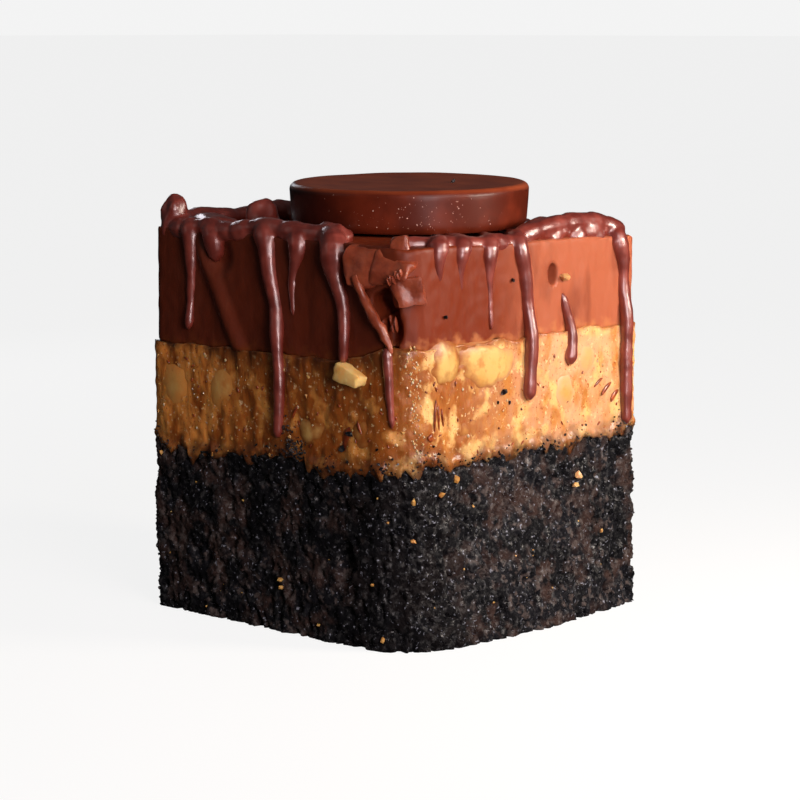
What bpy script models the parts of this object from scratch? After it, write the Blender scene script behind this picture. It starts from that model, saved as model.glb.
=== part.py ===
"""A square piece of layered chocolate cake, at its real size in metres, standing on the origin with +Z up.

A dark crumb layer carries a pecan caramel layer and a chocolate ganache layer. Thick chocolate drizzle
crosses the top, hangs down the sides and carries a round moulded chocolate disc. The four cut sides face
-Y (front left), +X (front right), +Y and -X. The corner at +X -Y is the front one, where the ganache is torn.
"""

import math
import random

import bmesh
import bpy
from mathutils import Matrix, Vector, noise

MM = 0.001

# Driving dimensions of the piece and its layers
SIDE = 57.8 * MM
CAKE_TOP = 28.7 * MM
CARAMEL_TOP_LEFT = 45.2 * MM
CARAMEL_TOP_RIGHT = 48.0 * MM
GANACHE_TOP = 63.6 * MM
LAYER_GAP = 0.4 * MM
CAKE_HALF = 0.5 * SIDE + 0.3 * MM
CARAMEL_HALF = 0.5 * SIDE + 0.2 * MM
GANACHE_HALF = 0.5 * SIDE - 0.2 * MM
CORNER_RADIUS = 2.0 * MM
FRONT_RADIUS_LOW = 10.0 * MM
FRONT_RADIUS_HIGH = 5.0 * MM
TOP_SLOPE = 0.034
CELLS_PER_SIDE = 18

# Chocolate disc
DISC_RADIUS = 20.0 * MM
DISC_HEIGHT = 7.0 * MM
DISC_LOW = 64.7 * MM
DISC_CENTRE = Vector((1.6 * MM, 1.6 * MM, 0.0))
DISC_EDGE_RADIUS = 1.1 * MM
DISC_FOOT_RADIUS = 0.5 * MM
DISC_DISH = 0.3 * MM
DISC_LEAN = math.radians(1.4)
DISC_LEANS_TO = Vector((math.sin(math.radians(35)), -math.cos(math.radians(35)), 0.0))

# Drizzle: heading of its lines across the top, and how it stands on what it crosses
DRIZZLE_HEADING = math.radians(-40)
SIDE_LIFT = 0.35
TOP_LIFT = 0.85
DRIZZLE_FLATNESS = 0.72
DRIZZLE_CLEAR = 0.4 * MM
DRIZZLE_STEP = 5.6 * MM
DRIZZLE_SECTION = 6

# Drizzle runs on the two front sides, left to right, as place along the side, drop from the top, sideways
# drift on the way down, and radius at the top and at the tip, in millimetres
FRONT_LEFT_RUNS = (
    (-19.9, 16.0, 0.7, 1.3, 0.8),
    (-14.6, 4.4, 0.8, 1.6, 0.9),
    (-2.1, 31.8, 4.2, 1.8, 0.9),
    (5.2, 12.2, -0.9, 1.6, 0.6),
    (12.8, 18.2, 3.4, 1.9, 0.8),
)
FRONT_RIGHT_RUNS = (
    (-20.4, 6.0, 0.0, 1.2, 0.7),
    (-15.0, 8.0, -0.6, 1.2, 0.6),
    (-8.5, 14.0, -0.6, 1.3, 0.55),
    (-1.5, 26.0, 1.7, 1.4, 1.15),
    (7.4, 1.4, 0.2, 1.6, 0.9),
    (13.0, 1.2, 0.0, 1.6, 0.9),
    (18.0, 1.6, 0.0, 1.6, 0.9),
    (23.8, 32.6, 1.5, 1.4, 1.15),
)
BACK_DROPS = (8, 15, 20, 4, 13, 24, 6, 16, 10, 3, 22, 12, 7)

# Bands of drizzle heaped along the top edges, as points and half width in millimetres
EDGE_BANDS = (
    (((-27.0, -26.4, 64.4), (-16.5, -27.6, 64.8), (-3.0, -27.2, 65.4), (4.0, -27.2, 64.8), (12.4, -26.2, 64.8)), 1.8),
    (((26.0, 0.4, 63.4), (26.4, 11.0, 65.2), (26.6, 22.0, 64.6), (27.0, 26.4, 62.8)), 1.9),
    (((22.6, -21.0, 64.2), (25.4, -15.0, 64.0), (26.4, -2.0, 63.6)), 1.3),
    (((-25.6, -25.6, 65.0), (-26.4, -14.0, 65.2), (-25.8, -3.0, 65.6), (-24.6, 5.0, 65.0)), 2.0),
)

# Lumps fused to the ganache, as centre, half sizes and turn about Z: the torn flap with the folds beside it
# at the front corner, drizzle piled at the front edge and against the disc, and the peak at the left corner
GANACHE_LUMPS = (
    ((22.6, -27.4, 60.2), (5.6, 1.7, 3.6), 4),
    ((25.4, -25.4, 63.0), (2.6, 2.2, 2.4), 35),
    ((26.7, -26.3, 56.0), (2.3, 2.3, 3.0), 45),
    ((9.6, -25.2, 63.9), (4.2, 3.2, 2.8), -10),
    ((-16.2, -15.4, 64.0), (2.6, 2.6, 4.6), 0),
    ((-26.0, -26.0, 65.0), (2.4, 2.4, 4.7), 20),
)
HOLLOWS = (
    ((24.0, -28.6, 54.6), (1.9, 2.6, 2.0), 20),
    ((24.9, -28.2, 51.4), (1.4, 2.2, 3.4), 35),
)

# Bulge of the crumb at the foot of the two sides that face along X
FOOT_BULGE = 2.6 * MM
FOOT_BULGE_TOP = 24 * MM

# Pecan pieces that show in the caramel, on the front sides as place along, height, half width, half height
FRONT_LEFT_PECANS = (
    (-23.4, 38.4, 3.4, 4.2),
    (-12.4, 38.6, 3.0, 4.4),
    (9.0, 33.8, 3.4, 2.8),
    (19.4, 34.4, 2.4, 2.8),
)
FRONT_RIGHT_PECANS = (
    (-19.8, 44.4, 2.7, 3.1),
    (-9.8, 43.4, 6.2, 3.7),
    (9.6, 37.6, 3.6, 3.2),
    (14.8, 43.0, 3.0, 3.0),
    (-14.6, 34.4, 3.2, 2.4),
)
BACK_PECAN_COUNT = 5
PECAN_PROUD = 0.75 * MM
PECAN_DEPTH = 2.2 * MM

# The loose chip of pecan that lies on the caramel of the front left side
CHIP_PLACE = 18.1 * MM
CHIP_HEIGHT = 42.9 * MM
CHIP_LENGTH = 5.4 * MM
CHIP_THICKNESS = 2.6 * MM
CHIP_WIDTH = 2.7 * MM
CHIP_SLANT = math.radians(16)

MATERIALS = {
    "chocolate_crumb": ((0.035, 0.027, 0.026), 0.85),
    "pecan_caramel": ((0.62, 0.30, 0.085), 0.35),
    "chocolate_ganache": ((0.19, 0.058, 0.030), 0.35),
    "moulded_chocolate": ((0.14, 0.042, 0.022), 0.28),
}


def smooth_step(low, high, value):
    """0 below low, 1 above high, and an S-curve between."""
    share = min(1.0, max(0.0, (value - low) / (high - low)))
    return share * share * (3 - 2 * share)


def disc_low(flat):
    """Height of the disc's underside, which leans a little towards the front."""
    return DISC_LOW - math.tan(DISC_LEAN) * (flat - DISC_CENTRE.xy).dot(DISC_LEANS_TO.xy)


def corner_radius(point, height):
    """Vertical corner radius of the layers; the front corner is rounder, most of all at the foot."""
    if point.x > 0 > point.y:
        rise = smooth_step(0, GANACHE_TOP, height)
        return FRONT_RADIUS_LOW + (FRONT_RADIUS_HIGH - FRONT_RADIUS_LOW) * rise
    return CORNER_RADIUS


def rounded(point, half, radius):
    """Moves a point on the square of this half size onto the same square with round corners.

    Returns it with the direction that its side faces.
    """
    inner = half - radius
    kept = Vector((min(inner, max(-inner, point.x)), min(inner, max(-inner, point.y))))
    outward = (point - kept).normalized()
    return kept + outward * radius, outward


def joint_height(middle, wave, x, y):
    """Height of a joint between layers: flat in its hidden middle, and waved along its rim."""
    out = 0.5 * SIDE
    share = smooth_step(0.6, 0.9, max(abs(x), abs(y)) / out)
    nearer_x = smooth_step(-4 * MM, 4 * MM, abs(x) - abs(y))
    rim_x = wave(math.copysign(out, x), y)
    rim_y = wave(x, math.copysign(out, y))
    return middle + (nearer_x * rim_x + (1 - nearer_x) * rim_y) * share


def cake_wave(x, y):
    """How the crumb's top waves, where the caramel sinks into it here and there."""
    sag = math.cos((x - 1 * MM) / (5.3 * MM))
    return MM * (0.7 * (x + y) / SIDE + sag + 1.2 * noise.noise(Vector((x, y, 0)) / (3.4 * MM)))


def caramel_wave(x, y):
    """How the caramel's top waves. It is higher towards +X."""
    rise = (CARAMEL_TOP_RIGHT - CARAMEL_TOP_LEFT) * smooth_step(13 * MM, 25 * MM, x)
    return rise + 1.1 * MM * noise.noise(Vector((x, y, 0.05)) / (7 * MM))


def cake_top(x, y):
    """Height of the joint between crumb and caramel."""
    return joint_height(CAKE_TOP, cake_wave, x, y)


def caramel_top(x, y):
    """Height of the joint between caramel and ganache."""
    return joint_height(CARAMEL_TOP_LEFT, caramel_wave, x, y)


def ganache_top(x, y):
    """Height of the ganache, which falls towards +X +Y."""
    fall = TOP_SLOPE * 0.5 * (x + y)
    return GANACHE_TOP - fall + 0.35 * MM * noise.noise(Vector((x, y, 0.09)) / (11 * MM))


def crumb_relief(point):
    """Crags of the torn crumb, and its bulge at the foot."""
    crag = noise.noise(point / (5 * MM)) + 0.8 * noise.noise(point / (2.3 * MM))
    bulge = 0
    if abs(point.x) > abs(point.y):
        bulge = math.cos(0.5 * math.pi * min(1, abs(point.y) / CAKE_HALF))
        bulge *= 1 - smooth_step(0, FOOT_BULGE_TOP, point.z)
    return 0.55 * MM * crag + FOOT_BULGE * bulge


def caramel_relief(point):
    """Soft folds that the knife drew down the caramel."""
    streak = Vector((point.x / (2.6 * MM), point.y / (2.6 * MM), point.z / (9 * MM)))
    return 0.3 * MM * noise.noise(streak)


def ganache_relief(point):
    """Shallow knife marks that run down the ganache."""
    streak = Vector((point.x / (3.4 * MM), point.y / (3.4 * MM), point.z / (14 * MM)))
    return 0.22 * MM * noise.noise(streak)


def subdivided_block(cells, rows):
    """A closed block from -1 to 1, cut into cells by cells by rows."""
    bm = bmesh.new()
    bmesh.ops.create_cube(bm, size=2)
    for axis, parts in ((0, cells), (1, cells), (2, rows)):
        across = [e for e in bm.edges if abs(e.verts[0].co[axis] - e.verts[1].co[axis]) > 1e-6]
        bmesh.ops.subdivide_edges(bm, edges=across, cuts=parts - 1, use_grid_fill=True)
    return bm


def layer(name, half, low, high, relief, rows):
    """One layer of the piece between two joints, with relief on its cut sides.

    Every layer asks for its joints at the same places of the plain square, so that neighbours never cross.
    """
    bm = subdivided_block(CELLS_PER_SIDE, rows)
    for vert in bm.verts:
        ring = max(abs(vert.co.x), abs(vert.co.y))
        rise = 0.5 * (vert.co.z + 1)
        place = Vector(vert.co.xy) * 0.5 * SIDE
        height = low(*place) * (1 - rise) + high(*place) * rise
        flat = Vector(vert.co.xy) * half
        if ring > 1e-6:
            rim, outward = rounded(flat / ring, half, corner_radius(flat, height))
            flat = rim * ring
        if ring > 1 - 1e-6:
            flat = flat + outward * relief(Vector((*flat, height)))
        vert.co = Vector((*flat, height))
    bm.normal_update()
    level = [vert for vert in bm.verts if all(abs(face.normal.z) > 1 - 1e-7 for face in vert.link_faces)]
    bmesh.ops.dissolve_verts(bm, verts=level)
    return new_object(name, bm)


def new_object(name, bm):
    """Puts a finished bmesh into the scene as an object of triangles."""
    bmesh.ops.recalc_face_normals(bm, faces=bm.faces)
    bmesh.ops.triangulate(bm, faces=bm.faces)
    mesh = bpy.data.meshes.new(name)
    bm.to_mesh(mesh)
    bm.free()
    made = bpy.data.objects.new(name, mesh)
    bpy.context.scene.collection.objects.link(made)
    return made


def applied_modifiers(obj):
    """Replaces the object's mesh by what its modifiers make of it."""
    graph = bpy.context.evaluated_depsgraph_get()
    mesh = bpy.data.meshes.new_from_object(obj.evaluated_get(graph))
    obj.modifiers.clear()
    obj.data = mesh


def drop_all_but_largest(obj):
    """Drops loose scraps, and the walls of closed pockets, which fills them."""
    bm = bmesh.new()
    bm.from_mesh(obj.data)
    left = set(bm.verts)
    islands = []
    while left:
        island = {left.pop()}
        edge_of_island = list(island)
        while edge_of_island:
            vert = edge_of_island.pop()
            for edge in vert.link_edges:
                other = edge.other_vert(vert)
                if other in left:
                    left.remove(other)
                    island.add(other)
                    edge_of_island.append(other)
        islands.append(island)
    largest = max(islands, key=len)
    bmesh.ops.delete(bm, geom=[vert for vert in bm.verts if vert not in largest], context="VERTS")
    bm.to_mesh(obj.data)
    bm.free()


def boolean(core, pieces, operation):
    """Joins the pieces to the core, or cuts them out of it, and removes them."""
    group = bpy.data.collections.new(core.name + "_pieces")
    bpy.context.scene.collection.children.link(group)
    for piece in pieces:
        bpy.context.scene.collection.objects.unlink(piece)
        group.objects.link(piece)
    change = core.modifiers.new(operation.lower(), "BOOLEAN")
    change.operation = operation
    change.operand_type = "COLLECTION"
    change.collection = group
    change.solver = "MANIFOLD"
    applied_modifiers(core)
    for piece in pieces:
        bpy.data.objects.remove(piece)
    bpy.data.collections.remove(group)
    drop_all_but_largest(core)


def lump(name, centre, half_sizes, turn, roughness, seed, steps=1):
    """A rough ellipsoid with its half sizes along a turned X, Y and Z."""
    bm = bmesh.new()
    bmesh.ops.create_icosphere(bm, subdivisions=steps, radius=1)
    for vert in bm.verts:
        vert.co *= 1 + roughness * noise.noise(vert.co * 1.7 + Vector((seed, 0, 0)))
    place = Matrix.Translation(centre) @ Matrix.Rotation(turn, 4, "Z") @ Matrix.Diagonal((*half_sizes, 1))
    bmesh.ops.transform(bm, matrix=place, verts=bm.verts)
    return new_object(name, bm)


def curve_through(points, step):
    """Points about this far apart on the smooth curve through the given ones."""
    ends = [2 * points[0] - points[1], *points, 2 * points[-1] - points[-2]]
    found = []
    for a, b, c, d in zip(ends, ends[1:], ends[2:], ends[3:]):
        parts = max(1, round((c - b).length / step))
        for k in range(parts):
            t = k / parts
            found.append(
                0.5 * (2 * b + (c - a) * t + (2 * a - 5 * b + 4 * c - d) * t**2 + (3 * b - a - 3 * c + d) * t**3)
            )
    return [*found, points[-1]]


def tube(name, path, radius_at):
    """A closed, flattened tube along the path. radius_at gives its half width for 0 to 1 along it."""
    bm = bmesh.new()
    rings = []
    last = len(path) - 1
    for k, point in enumerate(path):
        ahead = (path[min(k + 1, last)] - path[max(k - 1, 0)]).normalized()
        across = ahead.cross(surface_normal(point)).normalized()
        radius = radius_at(k / last) * (0.55 if k in (0, last) else 1)
        ring = bmesh.ops.create_circle(bm, segments=DRIZZLE_SECTION, radius=radius)["verts"]
        for vert in ring:
            vert.co = point + across * vert.co.x + across.cross(ahead) * vert.co.y * DRIZZLE_FLATNESS
        rings.append(ring)
    for first, second in zip(rings, rings[1:]):
        for a, b, c, d in zip(first, [*first[1:], first[0]], [*second[1:], second[0]], second):
            bm.faces.new((a, b, c, d))
    for ring in (rings[0], rings[-1]):
        bm.faces.new(ring)
    return new_object(name, bm)


class Side:
    """One cut side of the piece: where it faces, and which way its places are counted."""

    def __init__(self, outward, along):
        self.outward = Vector(outward)
        self.along = Vector(along)

    def point(self, place, height, stand):
        """The point at a place along the side and a height, this far outside the ganache."""
        across = self.along * place + self.outward * (GANACHE_HALF + stand)
        return Vector((across.x, across.y, height))


FRONT_LEFT = Side((0, -1), (1, 0))
FRONT_RIGHT = Side((1, 0), (0, 1))
BACK_LEFT = Side((-1, 0), (0, 1))
BACK_RIGHT = Side((0, 1), (1, 0))


def surface_normal(point):
    """The way out of the piece at a point of the drizzle: up on the top, sideways on the sides."""
    flat = Vector((point.x, point.y, 0))
    beyond = max(abs(point.x), abs(point.y)) - GANACHE_HALF
    sideways = smooth_step(-3 * MM, 0.2 * MM, beyond)
    out = Vector((math.copysign(1, flat.x), 0, 0))
    if abs(flat.y) > abs(flat.x):
        out = Vector((0, math.copysign(1, flat.y), 0))
    return (out * sideways + Vector((0, 0, 1)) * (1 - sideways)).normalized()


def stand_off(height, radius):
    """How far a run's centre stands out: sunk in the ganache, and clear of the caramel below it."""
    depth = radius * DRIZZLE_FLATNESS
    clear = depth + CARAMEL_HALF - GANACHE_HALF + DRIZZLE_CLEAR
    fused = smooth_step(CARAMEL_TOP_RIGHT + 1.2 * MM, CARAMEL_TOP_RIGHT + 5 * MM, height)
    return clear + (SIDE_LIFT * depth - clear) * fused


def run_down(side, place, drop, drift, radius_top, radius_tip):
    """Points of a run from just under the top edge down to its tip."""
    steps = max(1, round(drop / (5 * MM)))
    points = []
    for k in range(1, steps + 1):
        share = k / steps
        wobble = 0.35 * MM * math.sin(5 * share + 300 * place)
        height = GANACHE_TOP - drop * share
        radius = radius_top + (radius_tip - radius_top) * share
        bowed = place + drift * math.sin(1.9 * share) + wobble
        points.append(side.point(bowed, height, stand_off(height, radius)))
    return points


def top_point(flat, radius):
    """A point of the drizzle on the top, part sunk in the ganache, and just under the disc where it crosses."""
    reach = (flat - DISC_CENTRE.xy).length
    free = smooth_step(DISC_RADIUS - 1 * MM, DISC_RADIUS + 4 * MM, reach)
    depth = radius * DRIZZLE_FLATNESS
    laid = ganache_top(*flat) + TOP_LIFT * depth
    pressed = disc_low(flat) - LAYER_GAP - 0.25 * MM - depth
    return Vector((*flat, pressed + (laid - pressed) * free))


def far_side(start, heading):
    """The side where a line across the top comes out at the back, and the place along it."""
    reach_x = (start.x + GANACHE_HALF) / heading.x
    reach_y = (start.y - GANACHE_HALF) / heading.y
    if reach_x < reach_y:
        return BACK_LEFT, (start - heading * reach_x).y, reach_x
    return BACK_RIGHT, (start - heading * reach_y).x, reach_y


def drizzle_line(name, side, run, back_drop, index):
    """One line of drizzle: down a front side, across the top and down a side at the back."""
    place, drop, drift, radius_top, radius_tip = (MM * value for value in run)
    angle = DRIZZLE_HEADING + math.radians(4) * math.sin(2.3 * index)
    heading = Vector((math.cos(angle), math.sin(angle)))
    start = side.point(place, 0, 0).xy
    back, back_place, length = far_side(start, heading)
    front_run = run_down(side, place, drop, drift, radius_top, radius_tip)
    lips = []
    for end_side, end_place in ((side, place), (back, back_place)):
        rim = end_side.point(end_place, 0, -0.6 * MM)
        lips.append(Vector((*rim.xy, ganache_top(*rim.xy) - 0.2 * MM)))
    parts = max(2, round(length / (8 * MM)))
    across = []
    for k in range(1, parts):
        wobble = heading.orthogonal() * 0.6 * MM * math.sin(2.1 * k + index)
        across.append(top_point(start - heading * length * k / parts + wobble, radius_top))
    back_run = run_down(back, back_place, back_drop * MM, 0.6 * MM, radius_top, radius_tip)
    keys = [*reversed(front_run), lips[0], *across, lips[1], *back_run]
    path = curve_through(keys, DRIZZLE_STEP)
    share_front = drop / (drop + length + back_drop * MM)
    share_back = back_drop * MM / (drop + length + back_drop * MM)

    def radius_at(share):
        falling = max(1 - share / share_front, 1 - (1 - share) / share_back, 0)
        return radius_top + (radius_tip - radius_top) * falling

    return tube(name, path, radius_at)


def edge_bands():
    """The drizzle heaped along the top edges."""
    return [
        tube(f"band_{k}", curve_through([Vector(point) * MM for point in band], DRIZZLE_STEP), lambda share: width * MM)
        for k, (band, width) in enumerate(EDGE_BANDS)
    ]


def torn_strand():
    """The thin strand that hangs from the torn corner, slants down to the edge and ends on the caramel."""
    keys = [
        FRONT_LEFT.point(place * MM, height * MM, stand * MM)
        for place, height, stand in (
            (18.2, 61.5, 0.2),
            (19.2, 57.0, 0.3),
            (22.4, 53.0, 0.4),
            (24.6, 49.8, 1.2),
            (24.4, 46.0, 1.7),
            (25.2, 38.4, 1.7),
        )
    ]
    return tube("torn_strand", curve_through(keys, DRIZZLE_STEP), lambda share: (1.0 - 0.3 * share) * MM)


def short_run():
    """The short separate run on the front right side."""
    keys = [
        FRONT_RIGHT.point(place * MM, height * MM, stand * MM)
        for place, height, stand in ((9.5, 54.2, 0.0), (10.6, 51.4, 0.2), (11.9, 47.4, 1.4), (11.0, 42.4, 1.7))
    ]
    return tube("short_run", curve_through(keys, DRIZZLE_STEP), lambda share: 0.95 * MM)


def ganache_lumps(rows):
    """The rough lumps of one table, in place."""
    return [
        lump(f"lump_{k}", Vector(centre) * MM, Vector(half_sizes) * MM, math.radians(turn), 0.3, 3 * k, 2)
        for k, (centre, half_sizes, turn) in enumerate(rows)
    ]


def ganache_with_drizzle():
    """The ganache layer with its torn corner and every line of drizzle fused to it."""
    core = layer("ganache_with_drizzle", GANACHE_HALF, lambda x, y: caramel_top(x, y) + LAYER_GAP,
                 ganache_top, ganache_relief, 6)
    runs = [(FRONT_LEFT, run) for run in FRONT_LEFT_RUNS] + [(FRONT_RIGHT, run) for run in FRONT_RIGHT_RUNS]
    pieces = [
        drizzle_line(f"drizzle_{k}", side, run, BACK_DROPS[k], k) for k, (side, run) in enumerate(runs)
    ]
    boolean(core, ganache_lumps(HOLLOWS), "DIFFERENCE")
    loose = [*edge_bands(), torn_strand(), short_run()]
    boolean(core, [*pieces, *ganache_lumps(GANACHE_LUMPS), *loose], "UNION")
    return core


def pecan(name, side, place, height, half_width, half_height, seed):
    """A piece of pecan bedded in the caramel, with its round back standing a little proud."""
    depth = PECAN_DEPTH - PECAN_PROUD
    centre = side.point(place, height, CARAMEL_HALF - GANACHE_HALF - depth)
    turn = math.atan2(side.along.y, side.along.x)
    return lump(name, centre, (half_width, PECAN_DEPTH, half_height), turn, 0.12, seed, 2)


def pecan_chip():
    """The angular chip of pecan, part bedded in the caramel and thinner at its right end."""
    bm = bmesh.new()
    bmesh.ops.create_cube(bm, size=1)
    bmesh.ops.subdivide_edges(bm, edges=bm.edges[:], cuts=1, use_grid_fill=True)
    for vert in bm.verts:
        vert.co.z *= 1 - 0.3 * smooth_step(-0.2, 0.5, vert.co.x)
        vert.co += 0.1 * noise.noise_vector(vert.co * 2.4)
    centre = FRONT_LEFT.point(CHIP_PLACE, CHIP_HEIGHT, CARAMEL_HALF - GANACHE_HALF + 0.28 * CHIP_THICKNESS)
    place = Matrix.Translation(centre) @ Matrix.Rotation(CHIP_SLANT, 4, "Y")
    sizes = Matrix.Diagonal((CHIP_LENGTH, CHIP_THICKNESS, CHIP_WIDTH, 1))
    bmesh.ops.transform(bm, matrix=place @ sizes, verts=bm.verts)
    return new_object("pecan_chip", bm)


def blocked_by_run(side, place, height, half_width, half_height):
    """True where a run of drizzle hangs in front of this place on the caramel."""
    for run_side, runs in ((FRONT_LEFT, FRONT_LEFT_RUNS), (FRONT_RIGHT, FRONT_RIGHT_RUNS)):
        for run in runs if side is run_side else ():
            low = GANACHE_TOP - run[1] * MM - half_height - 1.5 * MM
            near = abs(place - (run[0] + 0.75 * run[2]) * MM) < half_width + run[3] * MM + 0.6 * MM
            if near and height > low:
                return True
    return False


def pecan_caramel():
    """The caramel layer with the pecan pieces that show at its sides fused to it."""
    core = layer("pecan_caramel", CARAMEL_HALF, lambda x, y: cake_top(x, y) + LAYER_GAP,
                 caramel_top, caramel_relief, 6)
    draw = random.Random(5)
    placed = [(FRONT_LEFT, nut) for nut in FRONT_LEFT_PECANS] + [(FRONT_RIGHT, nut) for nut in FRONT_RIGHT_PECANS]
    for side in (BACK_LEFT, BACK_RIGHT):
        for k in range(BACK_PECAN_COUNT):
            place = (k + 0.5) / BACK_PECAN_COUNT * 46 - 23 + draw.uniform(-1, 1)
            height = 34 + 8 * (k % 2) + draw.uniform(-1, 1)
            placed.append((side, (place, height, draw.uniform(1.6, 2.6), draw.uniform(1.8, 2.8))))
    pieces = []
    for k, (side, nut) in enumerate(placed):
        sizes = [value * MM for value in nut]
        if side in (FRONT_LEFT, FRONT_RIGHT) and blocked_by_run(side, *sizes):
            continue
        pieces.append(pecan(f"pecan_{k}", side, *sizes, 2 * k))
    boolean(core, [*pieces, pecan_chip()], "UNION")
    return core


def chocolate_disc():
    """The moulded disc: a turned profile with a round upper edge and a slight dish in its top."""
    bm = bmesh.new()
    profile = [(0, DISC_HEIGHT - DISC_DISH), (0.82 * DISC_RADIUS, DISC_HEIGHT - DISC_DISH)]
    for k in range(5):
        angle = math.radians(90 - 22.5 * k)
        profile.append((DISC_RADIUS - DISC_EDGE_RADIUS * (1 - math.cos(angle)),
                        DISC_HEIGHT - DISC_EDGE_RADIUS * (1 - math.sin(angle))))
    profile += [(DISC_RADIUS - 0.3 * MM, DISC_FOOT_RADIUS), (DISC_RADIUS - 0.3 * MM - DISC_FOOT_RADIUS, 0), (0, 0)]
    verts = [bm.verts.new((radius, 0, height)) for radius, height in profile]
    edges = [bm.edges.new(pair) for pair in zip(verts, verts[1:])]
    bmesh.ops.spin(bm, geom=verts + edges, cent=(0, 0, 0), axis=(0, 0, 1), angle=math.tau, steps=48, use_merge=True)
    bmesh.ops.remove_doubles(bm, verts=bm.verts, dist=0.01 * MM)
    leaning = Matrix.Rotation(DISC_LEAN, 4, Vector((0, 0, 1)).cross(DISC_LEANS_TO))
    laid = Matrix.Translation((DISC_CENTRE.x, DISC_CENTRE.y, DISC_LOW))
    bmesh.ops.transform(bm, matrix=laid @ leaning, verts=bm.verts)
    disc = new_object("chocolate_disc", bm)
    disc.data.shade_smooth()
    disc.data.set_sharp_from_angle(angle=math.radians(40))
    return disc


def finish(obj, material_name):
    """Gives the object its material."""
    colour, roughness = MATERIALS[material_name]
    material = bpy.data.materials.new(material_name)
    material.use_nodes = True
    shader = material.node_tree.nodes["Principled BSDF"]
    shader.inputs["Base Color"].default_value = (*colour, 1)
    shader.inputs["Roughness"].default_value = roughness
    shader.inputs["Metallic"].default_value = 0
    obj.data.materials.clear()
    obj.data.materials.append(material)


def clear_scene():
    """Removes whatever the scene starts with."""
    for obj in list(bpy.data.objects):
        bpy.data.objects.remove(obj)


def main():
    clear_scene()
    noise.seed_set(7)
    finish(layer("chocolate_cake_base", CAKE_HALF, lambda x, y: 0.0, cake_top, crumb_relief, 10), "chocolate_crumb")
    finish(pecan_caramel(), "pecan_caramel")
    finish(ganache_with_drizzle(), "chocolate_ganache")
    finish(chocolate_disc(), "moulded_chocolate")


main()
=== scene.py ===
"""Looks of a square piece of chocolate layer cake.

From the foot up it has crumb, pecan caramel, ganache with drizzle, and a moulded chocolate disc. All sizes
are in metres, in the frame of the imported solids. The piece stands on z = 0 with its axis on +Z, and its front
corner, which the camera faces, is at +X -Y.
"""

import math
import random

import bmesh
import bpy
from mathutils import Matrix, Vector, noise


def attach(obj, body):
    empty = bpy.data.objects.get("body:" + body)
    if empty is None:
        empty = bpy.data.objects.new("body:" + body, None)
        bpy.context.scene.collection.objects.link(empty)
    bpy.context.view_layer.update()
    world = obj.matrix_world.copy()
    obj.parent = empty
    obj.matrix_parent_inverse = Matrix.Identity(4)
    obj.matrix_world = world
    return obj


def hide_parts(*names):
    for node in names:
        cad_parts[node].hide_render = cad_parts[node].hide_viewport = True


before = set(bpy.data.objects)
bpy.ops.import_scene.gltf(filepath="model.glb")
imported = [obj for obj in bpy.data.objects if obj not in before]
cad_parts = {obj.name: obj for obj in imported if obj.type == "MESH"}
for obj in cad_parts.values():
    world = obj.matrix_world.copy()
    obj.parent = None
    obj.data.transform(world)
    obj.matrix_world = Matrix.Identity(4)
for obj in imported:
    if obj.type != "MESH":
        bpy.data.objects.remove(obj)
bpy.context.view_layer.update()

MM = 0.001

# Blender's noise vectors start from the time of day, unless they are given a start
NOISE_START = 12
noise.seed_set(NOISE_START)

# The piece and its layers, as in the solids
SIDE = 57.8 * MM
CAKE_TOP = 28.7 * MM
CARAMEL_TOP_LEFT = 45.2 * MM
CARAMEL_TOP_RIGHT = 48.0 * MM
GANACHE_TOP = 63.6 * MM
CAKE_HALF = 0.5 * SIDE + 0.3 * MM
CARAMEL_HALF = 0.5 * SIDE + 0.2 * MM
GANACHE_HALF = 0.5 * SIDE - 0.2 * MM
CORNER_RADIUS = 2.0 * MM
FRONT_RADIUS_LOW = 10.0 * MM
FRONT_RADIUS_HIGH = 5.0 * MM
TOP_SLOPE = 0.034
FOOT_BULGE = 2.6 * MM
FOOT_BULGE_TOP = 24 * MM
OVERLAP = 0.1 * MM

# The disc
DISC_RADIUS = 20.0 * MM
DISC_HEIGHT = 7.0 * MM
DISC_LOW = 64.7 * MM
DISC_CENTRE = Vector((1.6 * MM, 1.6 * MM, 0.0))
DISC_EDGE_RADIUS = 1.1 * MM
DISC_FOOT_RADIUS = 0.5 * MM
DISC_DISH = 0.3 * MM
DISC_DRAFT = 0.3 * MM
DISC_ARC_STEPS = 8
DISC_WALL_STEPS = 8
DISC_TURN_STEPS = 144
DISC_LEAN = math.radians(1.4)
DISC_LEANS_TO = Vector((math.sin(math.radians(35)), -math.cos(math.radians(35)), 0.0))

# Drizzle
DRIZZLE_HEADING = math.radians(-40)
DRIZZLE_STEP = 1.0 * MM
SHORTEST_RUN = 2.0 * MM

# Runs on the two front sides, left to right, as place along the side, drop from the top, sideways drift on
# the way down, and radius at the top and at the tip, in millimetres
FRONT_LEFT_RUNS = (
    (-19.9, 16.0, 0.7, 1.2, 0.7),
    (-14.6, 4.4, 0.8, 1.5, 0.9),
    (-2.1, 31.8, 4.2, 1.5, 0.85),
    (5.2, 12.2, -0.9, 1.3, 0.5),
    (12.8, 18.6, 3.4, 1.8, 0.75),
)
FRONT_RIGHT_RUNS = (
    (-20.4, 6.0, 0.0, 1.1, 0.55),
    (-15.0, 8.0, -0.6, 1.1, 0.45),
    (-8.5, 14.0, -0.6, 1.1, 0.4),
    (-1.5, 26.0, 1.7, 1.25, 1.15),
    (7.4, 1.4, 0.2, 1.5, 0.9),
    (13.0, 1.2, 0.0, 1.5, 0.9),
    (18.0, 1.6, 0.0, 1.5, 0.9),
    (23.8, 32.6, 1.5, 1.2, 1.1),
)
BACK_DROPS = (8, 15, 20, 4, 13, 24, 6, 16, 10, 3, 22, 12, 7)

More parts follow.
